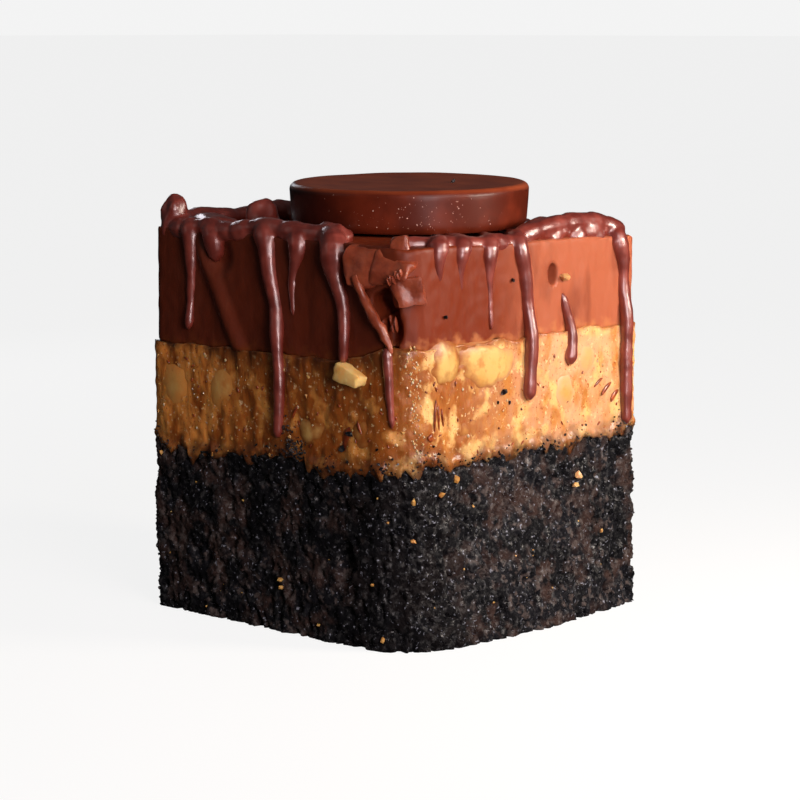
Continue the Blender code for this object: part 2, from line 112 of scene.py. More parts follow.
# Bands of drizzle that lie along the top edges, as points and radius in millimetres
EDGE_BANDS = (
    (((-27.0, -26.4, 64.4), (-22.0, -27.4, 64.0), (-16.5, -27.6, 64.8), (-10.0, -27.6, 64.2),
      (-3.0, -27.2, 65.4), (4.0, -27.2, 64.8), (12.4, -26.2, 64.8)), 1.7),
    (((26.0, 0.4, 63.4), (26.6, 5.0, 64.6), (26.4, 11.0, 65.2), (26.2, 17.0, 65.2), (26.6, 22.0, 64.6),
      (27.0, 26.4, 62.8)), 1.75),
    (((21.6, -24.4, 63.8), (25.6, -19.0, 63.6), (27.0, -13.0, 63.3), (27.2, -7.0, 63.1),
      (27.0, -1.0, 62.9)), 1.5),
    (((-25.6, -25.6, 65.0), (-26.8, -19.0, 65.4), (-26.4, -14.0, 65.0), (-26.2, -8.0, 65.4),
      (-25.8, -3.0, 65.7), (-24.6, 5.0, 65.0)), 1.8),
)

# Lumps of drizzle piled on the top and the peak at the left corner, as centre and half sizes in millimetres,
# and turn about Z in degrees
DRIZZLE_LUMPS = (
    ((9.6, -25.2, 63.9), (4.2, 3.2, 2.8), -10),
    ((-16.2, -15.4, 63.8), (3.4, 3.0, 4.9), 0),
    ((-26.0, -26.0, 65.0), (2.6, 2.6, 4.7), 20),
    ((-21.6, -21.6, 64.2), (4.8, 4.4, 2.3), 15),
    ((25.2, 9.0, 64.2), (3.0, 6.4, 2.3), 0),
    ((25.2, 19.0, 64.2), (3.0, 6.0, 2.5), 0),
    ((25.8, -16.0, 63.0), (2.4, 4.4, 1.7), 0),
)

# The short run that starts below the edge on the right, the run that hangs below the torn corner, and the
# strand of ganache above it, as place along, height and how far they stand out, in millimetres
SHORT_RUN = ((9.0, 54.4, -0.3), (10.0, 51.4, 0.0), (11.0, 47.4, 0.4), (10.4, 42.4, 0.6))
TORN_RUN = ((25.2, 48.4, 0.3), (25.5, 44.0, 0.3), (25.7, 40.0, 0.3), (26.2, 35.6, 0.3))
TORN_STRAND = (
    (19.4, 59.8, 1.2),
    (20.2, 57.4, 1.3),
    (21.8, 55.2, 1.2),
    (23.2, 52.8, 1.0),
    (25.0, 49.8, 0.9),
    (25.4, 46.4, 0.7),
)

# Hollows in the ganache, two at the torn corner and a pit on the right, as centre and half sizes in
# millimetres, turn about Z in radians, and the number that sets their roughness
GANACHE_HOLLOWS = (
    ((23.9, -28.6, 55.0), (2.3, 5.2, 2.4), 0.4, 3),
    ((25.6, -28.0, 51.2), (1.5, 4.2, 3.8), 0.6, 5),
    ((28.6, 6.6, 57.5), (3.6, 1.2, 1.8), 0.0, 7),
)

# Plates of ganache at the torn corner, the flap, its lip, its tip and the fold under it, as four corners and
# the vector to their back in millimetres, and the number that sets their roughness
TORN_PLATES = (
    (((16.8, -30.6, 63.9), (24.2, -28.6, 63.2), (23.4, -29.8, 57.4), (18.0, -31.0, 57.0)),
     (-0.6, 3.2, 0.2), 1),
    (((22.4, -29.5, 63.4), (29.6, -27.2, 61.4), (28.8, -29.0, 58.8), (21.8, -30.3, 57.4)),
     (-1.4, 2.8, 0.4), 4),
    (((24.2, -28.2, 62.0), (27.6, -26.6, 61.8), (27.0, -26.4, 65.6), (24.8, -27.6, 65.0)),
     (-1.2, 1.6, 0.0), 7),
    (((26.2, -29.6, 58.8), (30.0, -26.6, 59.6), (30.2, -25.4, 55.2), (27.4, -28.8, 54.4)),
     (-2.6, 2.0, 0.0), 9),
)

# Pieces of pecan in the caramel's front sides, as place along, height, half width, half height and how far
# they stand out
FRONT_LEFT_PECANS = (
    (-23.4, 38.4, 3.8, 4.2, 0.26),
    (-12.4, 38.6, 3.4, 4.4, 0.24),
    (9.0, 33.8, 3.4, 2.8, 0.24),
    (19.4, 34.4, 2.4, 2.8, 0.2),
)
FRONT_RIGHT_PECANS = (
    (-20.0, 45.4, 3.3, 3.2, 0.5),
    (-9.8, 45.0, 6.6, 4.0, 0.52),
    (9.6, 38.0, 3.6, 3.2, 0.26),
    (14.8, 43.0, 3.0, 3.0, 0.26),
    (-14.6, 34.4, 3.2, 2.4, 0.2),
)
BACK_PECAN_COUNT = 5
PECAN_DEPTH = 2.2 * MM

# The loose chip of pecan that lies on the caramel of the front left side
CHIP_PLACE = 18.1 * MM
CHIP_HEIGHT = 43.4 * MM
CHIP_LENGTH = 5.4 * MM
CHIP_THICKNESS = 2.6 * MM
CHIP_WIDTH = 2.8 * MM
CHIP_SLANT = math.radians(16)

# How finely the layers are divided, and the size of the faces of what is melted together
SIDE_CELLS = 164
CRUMB_ROWS = 82
CARAMEL_ROWS = 60
GANACHE_CELLS = 72
GANACHE_ROWS = 22
GANACHE_GRAIN = 0.42 * MM
DRIZZLE_GRAIN = 0.33 * MM

# How many small things lie on each cut side, in the line of beads down the front corner, and on the disc
LOOSE_CRUMB_COUNT = 900
RIM_CRUMB_COUNT = 120
PECAN_BIT_COUNT = 60
SKIN_COUNT = 28
BEAD_COUNT = 90
CORNER_BEAD_COUNT = 90
GOLDEN_CRUMB_COUNT = 12
SUGAR_COUNT = 110


# Shapes shared with the solids


def smooth_step(low, high, value):
    """0 below low, 1 above high, and an S-curve between."""
    share = min(1.0, max(0.0, (value - low) / (high - low)))
    return share * share * (3 - 2 * share)


def disc_low(flat):
    """Height of the disc's underside, which leans a little towards the front."""
    return DISC_LOW - math.tan(DISC_LEAN) * (flat - DISC_CENTRE.xy).dot(DISC_LEANS_TO.xy)


def corner_radius(point, height):
    """Vertical corner radius of the layers; the front corner is rounder, most of all at the foot."""
    if point.x > 0 > point.y:
        rise = smooth_step(0, GANACHE_TOP, height)
        return FRONT_RADIUS_LOW + (FRONT_RADIUS_HIGH - FRONT_RADIUS_LOW) * rise
    return CORNER_RADIUS


def rounded(point, half, radius):
    """Moves a point on the square of this half size onto the same square with round corners.

    Returns it with the direction that its side faces.
    """
    inner = half - radius
    kept = Vector((min(inner, max(-inner, point.x)), min(inner, max(-inner, point.y))))
    outward = (point - kept).normalized()
    return kept + outward * radius, outward


def joint_height(middle, wave, x, y):
    """Height of a joint between layers: flat in its hidden middle, and waved along its rim."""
    out = 0.5 * SIDE
    share = smooth_step(0.6, 0.9, max(abs(x), abs(y)) / out)
    nearer_x = smooth_step(-4 * MM, 4 * MM, abs(x) - abs(y))
    rim_x = wave(math.copysign(out, x), y)
    rim_y = wave(x, math.copysign(out, y))
    return middle + (nearer_x * rim_x + (1 - nearer_x) * rim_y) * share


def cake_wave(x, y):
    """How the crumb's top waves, where the caramel sinks into it here and there."""
    sag = math.cos((x - 1 * MM) / (5.3 * MM))
    coarse = 1.2 * noise.noise(Vector((x, y, 0)) / (3.4 * MM))
    fine = 0.5 * noise.noise(Vector((x, y, 0.03)) / (1.1 * MM))
    return MM * (0.7 * (x + y) / SIDE + sag + coarse + fine)


def caramel_wave(x, y):
    """How the caramel's top waves. It is higher towards +X."""
    rise = (CARAMEL_TOP_RIGHT - CARAMEL_TOP_LEFT) * smooth_step(13 * MM, 25 * MM, x)
    fine = 0.35 * noise.noise(Vector((x, y, 0.08)) / (1.8 * MM))
    return rise + MM * (1.1 * noise.noise(Vector((x, y, 0.05)) / (7 * MM)) + fine)


def cake_top(x, y):
    """Height of the joint between crumb and caramel."""
    return joint_height(CAKE_TOP, cake_wave, x, y)


def caramel_top(x, y):
    """Height of the joint between caramel and ganache."""
    return joint_height(CARAMEL_TOP_LEFT, caramel_wave, x, y)


def ganache_top(x, y):
    """Height of the ganache, which falls towards +X +Y."""
    fall = TOP_SLOPE * 0.5 * (x + y)
    return GANACHE_TOP - fall + 0.35 * MM * noise.noise(Vector((x, y, 0.09)) / (11 * MM))


class Side:
    """One cut side of the piece: where it faces, and which way its places are counted."""

    def __init__(self, outward, along):
        self.outward = Vector(outward)
        self.along = Vector(along)

    def point(self, place, height, out):
        """The point at a place along the side and a height, this far out from the axis."""
        across = self.along * place + self.outward * out
        return Vector((across.x, across.y, height))

    def turned(self):
        """The matrix that turns a shape's X along the side."""
        return Matrix.Rotation(math.atan2(self.along.y, self.along.x), 4, "Z")


FRONT_LEFT = Side((0, -1), (1, 0))
FRONT_RIGHT = Side((1, 0), (0, 1))
BACK_LEFT = Side((-1, 0), (0, 1))
BACK_RIGHT = Side((0, 1), (1, 0))
SIDES = (FRONT_LEFT, FRONT_RIGHT, BACK_LEFT, BACK_RIGHT)


def side_point(side, place, height, half, stand):
    """The point on a cut side with its corner rounding, and this much further out."""
    square = side.point(place, 0, half)
    flat, outward = rounded(square.xy, half, corner_radius(square, height))
    flat = flat + outward * stand
    return Vector((flat.x, flat.y, height))


def on_side(side, path, half):
    """Points on a cut side for a path of places, heights and stands in millimetres."""
    return [side_point(side, place * MM, height * MM, half, stand * MM) for place, height, stand in path]


def on_relief(side, place, height, half, relief, lift):
    """The point on a layer's cut side, this much above its relief."""
    spot = side_point(side, place, height, half, 0)
    return side_point(side, place, height, half, relief(spot) + lift)


# Building meshes


def new_piece(name, bm, smooth=True):
    """Makes a finished bmesh a piece of the scene."""
    bmesh.ops.recalc_face_normals(bm, faces=bm.faces)
    mesh = bpy.data.meshes.new(name)
    bm.to_mesh(mesh)
    bm.free()
    if smooth:
        mesh.shade_smooth()
    piece = bpy.data.objects.new(name, mesh)
    bpy.context.scene.collection.objects.link(piece)
    return piece


def mark(piece, name, value_at):
    """Stores a number on each point of the piece."""
    marks = piece.data.attributes.new(name, "FLOAT", "POINT")
    for vert, spot in zip(piece.data.vertices, marks.data):
        spot.value = value_at(vert.co)
    return piece


def mark_heights(piece, name, joint):
    """Stores on each point of the piece how far it lies above a joint, in millimetres."""
    return mark(piece, name, lambda point: (point.z - joint(point.x, point.y)) / MM)


def with_modifiers_applied(piece):
    """Replaces the piece's mesh by what its modifiers make of it."""
    graph = bpy.context.evaluated_depsgraph_get()
    mesh = bpy.data.meshes.new_from_object(piece.evaluated_get(graph))
    piece.modifiers.clear()
    piece.data = mesh
    mesh.shade_smooth()
    return piece


def melted_together(piece, grain):
    """Melts overlapping closed shapes into one skin with faces of this size."""
    melt = piece.modifiers.new("melt", "REMESH")
    melt.mode = "VOXEL"
    melt.voxel_size = grain
    soften = piece.modifiers.new("soften", "SMOOTH")
    soften.factor = 0.5
    soften.iterations = 2
    return with_modifiers_applied(piece)


def pushed_out(piece, relief):
    """Moves each point of the piece along its normal by what relief gives for its place."""
    bm = bmesh.new()
    bm.from_mesh(piece.data)
    bm.normal_update()
    for vert in bm.verts:
        vert.co += vert.normal * relief(vert.co, vert.normal)
    bm.to_mesh(piece.data)
    bm.free()
    return piece


def layer_place(point, half, low, high, relief):
    """Where a point of a block from -1 to 1 lies in its layer."""
    ring = max(abs(point.x), abs(point.y))
    rise = 0.5 * (point.z + 1)
    place = Vector(point.xy) * 0.5 * SIDE
    height = low(*place) * (1 - rise) + high(*place) * rise
    flat = Vector(point.xy) * half
    if ring > 1e-6:
        rim, outward = rounded(flat / ring, half, corner_radius(flat, height))
        flat = rim * ring
    if ring > 1 - 1e-6:
        flat = flat + outward * relief(Vector((*flat, height)))
    return Vector((*flat, height))


def layer_block(cells, rows, half, low, high, relief, fine_caps=False):
    """A bmesh of one layer between two joints, with relief on its cut sides.

    Only caps that show are made fine.
    """
    bm = bmesh.new()
    bmesh.ops.create_cube(bm, size=2)
    caps = [face for face in bm.faces if abs(face.normal.z) > 0.5]
    if not fine_caps:
        bmesh.ops.delete(bm, geom=caps, context="FACES_ONLY")
    for axis, parts in ((0, cells), (1, cells), (2, rows)):
        across = [e for e in bm.edges if abs(e.verts[0].co[axis] - e.verts[1].co[axis]) > 1e-6]
        bmesh.ops.subdivide_edges(bm, edges=across, cuts=parts - 1, use_grid_fill=True)
    for vert in bm.verts:
        vert.co = layer_place(vert.co, half, low, high, relief)
    bmesh.ops.holes_fill(bm, edges=[edge for edge in bm.edges if edge.is_boundary], sides=0)
    return bm


def add_lump(bm, centre, half_sizes, turn=0.0, tilt=0.0, seed=0.0, steps=3):
    """Adds a rough ellipsoid with these half sizes, turned about Z and tilted about its own length."""
    made = bmesh.ops.create_icosphere(bm, subdivisions=steps, radius=1)["verts"]
    for vert in made:
        vert.co *= 1 + 0.25 * noise.noise(vert.co / 0.6 + Vector((seed, 0, 0)))
    turned = Matrix.Rotation(turn, 4, "Z") @ Matrix.Rotation(tilt, 4, "X")
    place = Matrix.Translation(centre) @ turned @ Matrix.Diagonal((*half_sizes, 1))
    bmesh.ops.transform(bm, matrix=place, verts=made)


def add_chip(bm, centre, size, draw, flatness):
    """Adds a small angular bit of this size, turned at random."""
    made = bmesh.ops.create_icosphere(bm, subdivisions=1, radius=0.5 * size)["verts"]
    for vert in made:
        vert.co *= draw.uniform(0.6, 1.25)
        vert.co.z *= flatness
    turned = Matrix.Rotation(draw.uniform(0, math.tau), 4, "Z")
    turned = turned @ Matrix.Rotation(draw.uniform(0, math.tau), 4, "X")
    bmesh.ops.transform(bm, matrix=Matrix.Translation(centre) @ turned, verts=made)


def curve_through(points, step):
    """Points about this far apart on the smooth curve through the given ones."""
    ends = [2 * points[0] - points[1], *points, 2 * points[-1] - points[-2]]
    found = []
    for a, b, c, d in zip(ends, ends[1:], ends[2:], ends[3:]):
        parts = max(1, round((c - b).length / step))
        for k in range(parts):
            t = k / parts
            bend = (2 * a - 5 * b + 4 * c - d) * t**2
            found.append(0.5 * (2 * b + (c - a) * t + bend + (3 * b - a - 3 * c + d) * t**3))
    return [*found, points[-1]]


# Chocolate crumb


def crumb_relief(point):
    """Crags of the torn crumb: its bulge at the foot, soft hollows, rounded crumbs and open pores.

    On the front left side a deeper hollow is torn out near the corner.
    """
    crag = noise.noise(point / (5 * MM)) + 0.8 * noise.noise(point / (2.3 * MM))
    bulge = 0
    if abs(point.x) > abs(point.y):
        bulge = math.cos(0.5 * math.pi * min(1, abs(point.y) / CAKE_HALF))
        bulge *= 1 - smooth_step(0, FOOT_BULGE_TOP, point.z)
    near, next_near = noise.voronoi(point / (1.6 * MM))[0][:2]
    crumbs = smooth_step(0, 0.5, next_near - near)
    near, next_near = noise.voronoi(point / (0.8 * MM))[0][:2]
    small_crumbs = smooth_step(0, 0.5, next_near - near)
    stretched = Vector((point.x / (1.1 * MM), point.y / (1.1 * MM), point.z / (1.9 * MM)))
    pore = smooth_step(0.16, 0.4, noise.noise(stretched))
    fine = 0.2 * (crumbs - 0.75) + 0.22 * (small_crumbs - 0.75) - 0.8 * pore
    hollow = Vector(((point.x - 15.8 * MM) / (1.9 * MM), 0, (point.z - 13.4 * MM) / (4.8 * MM)))
    torn = 2.2 * (1 - smooth_step(0.3, 1.2, hollow.length)) if point.y < -20 * MM else 0
    return MM * (0.55 * crag + fine - torn) + FOOT_BULGE * bulge


def chocolate_crumb():
    """The crumb layer, with open crags in its cut sides."""
    block = layer_block(SIDE_CELLS, CRUMB_ROWS, CAKE_HALF, lambda x, y: 0.0, cake_top, crumb_relief)
    return new_piece("chocolate_crumb", block)


def loose_crumbs():
    """Small angular crumbs that cling to the cut sides of the crumb layer."""
    bm = bmesh.new()
    draw = random.Random(11)
    for side in SIDES:
        for _ in range(LOOSE_CRUMB_COUNT):
            place = draw.uniform(-CAKE_HALF, CAKE_HALF)
            height = draw.uniform(0.6 * MM, cake_top(*side.point(place, 0, 0.5 * SIDE).xy))
            size = MM * (0.2 + 0.6 * draw.random() ** 2.5)
            spot = on_relief(side, place, height, CAKE_HALF, crumb_relief, -0.05 * size)
            add_chip(bm, spot, size, draw, 0.8)
    return new_piece("loose_crumbs", bm, smooth=False)


# Where drifts of crumb reach up over the caramel, as place, count and how high they reach, in millimetres
CRUMB_DRIFTS = {
    FRONT_LEFT: ((4.8, 190, 4.6), (-27.0, 24, 2.0), (13.0, 20, 2.0), (24.0, 30, 3.0)),
    FRONT_RIGHT: ((-23.0, 36, 2.6), (-13.5, 16, 1.2), (24.0, 40, 2.8), (6.0, 16, 1.2)),
    BACK_LEFT: ((-10.0, 60, 3.0), (15.0, 60, 2.4)),
    BACK_RIGHT: ((-16.0, 60, 2.4), (8.0, 60, 3.0)),
}

# The larger crumbs on the caramel and the ganache, as side, place, height and size in millimetres
LARGER_CRUMBS = (
    (FRONT_RIGHT, -5.9, 39.5, 1.5),
    (FRONT_RIGHT, -7.3, 38.0, 0.7),
    (FRONT_RIGHT, -4.6, 37.7, 0.8),
    (FRONT_RIGHT, -19.8, 52.6, 0.9),
    (FRONT_RIGHT, -3.8, 57.3, 0.8),
    (FRONT_RIGHT, 15.0, 31.9, 0.8),
    (FRONT_RIGHT, 13.7, 31.2, 0.6),
    (FRONT_LEFT, 17.2, 34.2, 1.6),
    (FRONT_LEFT, 15.6, 31.6, 1.2),
    (FRONT_LEFT, 2.6, 33.6, 1.1),
)

# Crumbs on the disc and on the drizzle in front of it, as place and size in millimetres
TOP_CRUMBS = (((6.4, 7.3, 71.6), 1.4), ((23.4, -16.4, 64.6), 1.6), ((21.4, -18.4, 64.4), 1.1))


def crumbs_on_caramel():
    """Dark crumbs that the knife drew up over the caramel, and a few higher up."""
    bm = bmesh.new()
    draw = random.Random(12)
    for side in SIDES:
        spots = [(draw.uniform(-28, 28), draw.random() ** 2.5 * 2.4 - 0.9) for _ in range(RIM_CRUMB_COUNT)]
        for middle, count, reach in CRUMB_DRIFTS[side]:
            spots += [(draw.gauss(middle, 1.3), abs(draw.gauss(0, 0.5 * reach))) for _ in range(count)]
        for place, rise in spots:
            rim = cake_top(*side.point(place * MM, 0, 0.5 * SIDE).xy)
            height = rim + rise * MM
            size = MM * (0.15 + 0.55 * draw.random() ** 2)
            spot = on_relief(side, place * MM, height, CARAMEL_HALF, caramel_relief, 0.1 * size)
            add_chip(bm, spot, size, draw, 0.6)
    for side, place, height, size in LARGER_CRUMBS:
        spot = side_point(side, place * MM, height * MM, CARAMEL_HALF, 0)
        add_chip(bm, spot, size * MM, draw, 0.7)
    for spot, size in TOP_CRUMBS:
        add_chip(bm, Vector(spot) * MM, size * MM, draw, 0.6)
    return new_piece("crumbs_on_caramel", bm, smooth=False)


# Pecan caramel


def tongue(x, y):
    """How far the knife dragged the caramel down over the crumb at this place on the rim."""
    fine = 0.9 * noise.noise(Vector((x, y, 0.02)) / (1.5 * MM))
    coarse = 0.7 * noise.noise(Vector((x, y, 0.04)) / (4 * MM))
    return 3.4 * MM * max(0, fine + coarse)


def caramel_relief(point):
    """Soft folds that the knife drew down the caramel, its lip over the crumb, and the lumps of nut in it."""
    above = point.z - cake_top(point.x, point.y)
    lip = 0.5 * (1 - smooth_step(0, 1.6 * MM, above))
    lip *= smooth_step(0, 1.2 * MM, above + tongue(point.x, point.y))
    streak = Vector((point.x / (2.6 * MM), point.y / (2.6 * MM), point.z / (9 * MM)))
    drag = Vector((point.x / (0.9 * MM), point.y / (0.9 * MM), point.z / (3.2 * MM)))
    lumps = noise.noise(point / (1.5 * MM))
    return MM * (0.3 * noise.noise(streak) + 0.1 * noise.noise(drag) + 0.22 * lumps + lip)


def pecan_caramel():
    """The caramel layer, which the knife dragged down over the crumb here and there."""

    def low(x, y):
        return cake_top(x, y) - OVERLAP - tongue(x, y)

    block = layer_block(SIDE_CELLS, CARAMEL_ROWS, CARAMEL_HALF, low, caramel_top, caramel_relief)
    piece = new_piece("pecan_caramel_mass", block)
    mark_heights(piece, "above_crumb", cake_top)
    mark_heights(piece, "above_caramel", caramel_top)
    return piece


def blocked_by_run(side, place, height, half_width, half_height):
    """True where a run of drizzle hangs in front of this place on the caramel."""
    for run_side, runs in ((FRONT_LEFT, FRONT_LEFT_RUNS), (FRONT_RIGHT, FRONT_RIGHT_RUNS)):
        for run in runs if side is run_side else ():
            low = GANACHE_TOP - run[1] * MM - half_height - 0.5 * MM
            near = abs(place - (run[0] + 0.75 * run[2]) * MM) < half_width + run[3] * MM + 0.6 * MM
            if near and height > low:
                return True
    return False


def out_of_caramel(point):
    """How far a point stands out of the caramel's side, in millimetres."""
    return (max(abs(point.x), abs(point.y)) - CARAMEL_HALF - caramel_relief(point)) / MM


def pecan_pieces():
    """Pieces of pecan bedded in the caramel, with their round backs a little proud."""
    bm = bmesh.new()
    draw = random.Random(5)
    placed = [(FRONT_LEFT, nut) for nut in FRONT_LEFT_PECANS]
    placed += [(FRONT_RIGHT, nut) for nut in FRONT_RIGHT_PECANS]
    for side in (BACK_LEFT, BACK_RIGHT):
        for k in range(BACK_PECAN_COUNT):
            place = (k + 0.5) / BACK_PECAN_COUNT * 46 - 23 + draw.uniform(-1, 1)
            height = 34 + 8 * (k % 2) + draw.uniform(-1, 1)
            placed.append((side, (place, height, draw.uniform(1.6, 2.6), draw.uniform(1.8, 2.8), 0.3)))
    for k, (side, nut) in enumerate(placed):
        place, height, half_width, half_height, stand = (MM * value for value in nut)
        if blocked_by_run(side, place, height, half_width, half_height):
            continue
        half_width, half_height = 1.5 * half_width, 1.5 * half_height
        centre = side_point(side, place, height, CARAMEL_HALF, stand - PECAN_DEPTH)
        made = bmesh.ops.create_icosphere(bm, subdivisions=4, radius=1)["verts"]
        for vert in made:
            vert.co *= 1 + 0.07 * noise.noise(vert.co / 1.1 + Vector((2.0 * k, 0, 0)))
            if half_width > 7 * MM:
                vert.co.z *= 1 - 0.4 * smooth_step(-0.1, 0.7, vert.co.z)
        turned = side.turned() @ Matrix.Rotation(math.radians(9) * math.sin(1.7 * k), 4, "Y")
        sizes = Matrix.Diagonal((half_width, PECAN_DEPTH, half_height, 1))
        bmesh.ops.transform(bm, matrix=Matrix.Translation(centre) @ turned @ sizes, verts=made)
    return mark(new_piece("pecan_pieces", bm), "proud", out_of_caramel)


# Bits of nut on the crumb and the ganache, as side, place, height and size in millimetres
STRAY_BITS = (
    (FRONT_RIGHT, 13.1, 23.7, 1.9),
    (FRONT_RIGHT, 12.2, 22.2, 1.3),
    (FRONT_RIGHT, -20.8, 24.7, 1.2),
    (FRONT_RIGHT, -26.7, 24.0, 1.3),
    (FRONT_RIGHT, -17.3, 26.7, 1.5),
    (FRONT_RIGHT, 9.2, 56.9, 2.3),
    (FRONT_LEFT, -13.8, 27.8, 1.3),
    (FRONT_LEFT, -26.6, 26.4, 1.0),
)


def pecan_bits():
    """Chopped bits of pecan all over the caramel, and a few on the crumb and the ganache."""
    bm = bmesh.new()
    draw = random.Random(31)
    for side in SIDES:
        for _ in range(PECAN_BIT_COUNT):
            place = draw.uniform(-CARAMEL_HALF, CARAMEL_HALF)
            flat = side.point(place, 0, 0.5 * SIDE).xy
            depth = caramel_top(*flat) - cake_top(*flat) - 0.6 * MM
            height = cake_top(*flat) + depth * draw.random() ** 1.8
            size = MM * (0.3 + 0.8 * draw.random() ** 2.5)
            spot = on_relief(side, place, height, CARAMEL_HALF, caramel_relief, -0.18 * size)
            add_chip(bm, spot, size, draw, 0.6)
    for side, place, height, size in STRAY_BITS:
        spot = side_point(side, place * MM, height * MM, CARAMEL_HALF, 0.1 * MM)
        add_chip(bm, spot, size * MM, draw, 0.7)
    return mark(new_piece("pecan_bits", bm, smooth=False), "proud", lambda point: 0.2)


def loose_pecan_chip():
    """The angular chip of pecan that lies on the caramel under a run of drizzle."""
    bm = bmesh.new()
    bmesh.ops.create_cube(bm, size=1)
    bmesh.ops.bevel(bm, geom=bm.edges[:], offset=0.12, segments=2, profile=0.5, affect="EDGES", material=-1)
    bmesh.ops.subdivide_edges(bm, edges=bm.edges[:], cuts=2, use_grid_fill=True)
    for vert in bm.verts:
        vert.co.z *= 1 - 0.3 * smooth_step(-0.2, 0.5, vert.co.x)
        vert.co += 0.1 * noise.noise_vector(vert.co * 2.4) + 0.03 * noise.noise_vector(vert.co * 7)
    centre = FRONT_LEFT.point(CHIP_PLACE, CHIP_HEIGHT, CARAMEL_HALF + 0.28 * CHIP_THICKNESS)
    place = Matrix.Translation(centre) @ Matrix.Rotation(CHIP_SLANT, 4, "Y")
    sizes = Matrix.Diagonal((CHIP_LENGTH, CHIP_THICKNESS, CHIP_WIDTH, 1))
    bmesh.ops.transform(bm, matrix=place @ sizes, verts=bm.verts)
    return new_piece("loose_pecan_chip", bm)


# Slivers of pecan skin that the photo shows, as side, place, height, half width and half length in
# millimetres, and lean in degrees
SKIN_SLIVERS = (
    (FRONT_RIGHT, -22.4, 37.4, 0.24, 2.7, 4),
    (FRONT_RIGHT, -21.5, 37.0, 0.2, 2.2, -3),
    (FRONT_RIGHT, -20.6, 36.9, 0.18, 1.5, -8),
    (FRONT_RIGHT, -23.4, 34.0, 0.6, 0.7, 0),
    (FRONT_RIGHT, 18.0, 38.8, 0.3, 1.4, 60),
    (FRONT_RIGHT, 20.0, 37.6, 0.4, 1.7, 52),
    (FRONT_RIGHT, 22.4, 36.2, 0.5, 1.4, 46),
    (FRONT_LEFT, 16.5, 33.4, 0.85, 2.3, 14),
    (FRONT_LEFT, 19.4, 35.2, 0.3, 1.2, -24),
    (FRONT_LEFT, 5.2, 36.4, 0.3, 1.2, 30),
)


def pecan_skins():
    """Thin curled slivers of reddish-brown pecan skin in the caramel."""
    bm = bmesh.new()
    draw = random.Random(41)
    slivers = list(SKIN_SLIVERS)
    for side in SIDES:
        for _ in range(SKIN_COUNT):
            place, height = draw.uniform(-27, 27), 30.5 + 14 * draw.random() ** 1.4
            half_width, half_length = draw.uniform(0.08, 0.2), draw.uniform(0.15, 0.55)
            slivers.append((side, place, height, half_width, half_length, draw.uniform(-70, 70)))
    for k, (side, place, height, half_width, half_length, lean) in enumerate(slivers):
        spot = on_relief(side, place * MM, height * MM, CARAMEL_HALF, caramel_relief, 0.05 * MM)
        steps = 2 if k < len(SKIN_SLIVERS) else 1
        made = bmesh.ops.create_icosphere(bm, subdivisions=steps, radius=1)["verts"]
        for vert in made:
            vert.co.x += 0.5 * vert.co.z**2
        sizes = Matrix.Diagonal((half_width * MM, 0.22 * MM, half_length * MM, 1))
        leaning = Matrix.Rotation(math.radians(lean), 4, "Y")
        bmesh.ops.transform(bm, matrix=Matrix.Translation(spot) @ side.turned() @ leaning @ sizes, verts=made)
    return new_piece("pecan_skins", bm)


def syrup_beads():
    """Clear beads of syrup all over the caramel's sides, and a line of them down the front corner."""
    bm = bmesh.new()
    draw = random.Random(51)
    spots = []
    for k in range(CORNER_BEAD_COUNT):
        share = k / (CORNER_BEAD_COUNT - 1)
        place = -27.6 + 2.4 * share + draw.gauss(0, 0.8)
        spots.append((FRONT_RIGHT, place, 48.6 - 17.5 * share, 0.06 + 0.2 * draw.random() ** 2))
    for side in SIDES:
        for _ in range(BEAD_COUNT):
            place, height = draw.uniform(-28, 28), draw.uniform(29.0, 45.0)
            spots.append((side, place, height, 0.06 + 0.2 * draw.random() ** 2))
    for side, place, height, size in spots:
        spot = on_relief(side, place * MM, height * MM, CARAMEL_HALF, caramel_relief, 0)
        made = bmesh.ops.create_icosphere(bm, subdivisions=1, radius=size * MM)["verts"]
        for vert in made:
            vert.co.z *= 1.25
        bmesh.ops.translate(bm, verts=made, vec=spot)
    return new_piece("syrup_beads", bm)


# Ganache


def add_plate(bm, corners, back, seed):
    """Adds a torn plate with these four corners, in millimetres, which goes back from them by a vector.

    It then softens and roughens all of the torn corner a little more.
    """
    before = set(bm.verts)
    made = [bm.verts.new(Vector(corner) * MM) for corner in corners]
    face = bm.faces.new(made)
    moved = bmesh.ops.extrude_face_region(bm, geom=[face], use_keep_orig=True)["geom"]
    moved = [item for item in moved if isinstance(item, bmesh.types.BMVert)]
    bmesh.ops.translate(bm, verts=moved, vec=Vector(back) * MM)
    edges = [edge for edge in bm.edges if edge.verts[0] not in before]
    bmesh.ops.subdivide_edges(bm, edges=edges, cuts=7, use_grid_fill=True)
    for _ in range(2):
        bmesh.ops.smooth_vert(bm, verts=bm.verts, factor=0.5, use_axis_x=True, use_axis_y=True,
                              use_axis_z=True)
    for vert in bm.verts:
        vert.co += 0.4 * MM * noise.noise_vector(vert.co / (1.9 * MM) + Vector((seed, 0, 0)))
        vert.co += 0.12 * MM * noise.noise_vector(vert.co / (0.6 * MM) + Vector((seed, 0, 0)))


def ganache_core_relief(point):
    """Shallow knife marks that run down the ganache."""
    streak = Vector((point.x / (3.4 * MM), point.y / (3.4 * MM), point.z / (14 * MM)))
    return 0.22 * MM * noise.noise(streak)


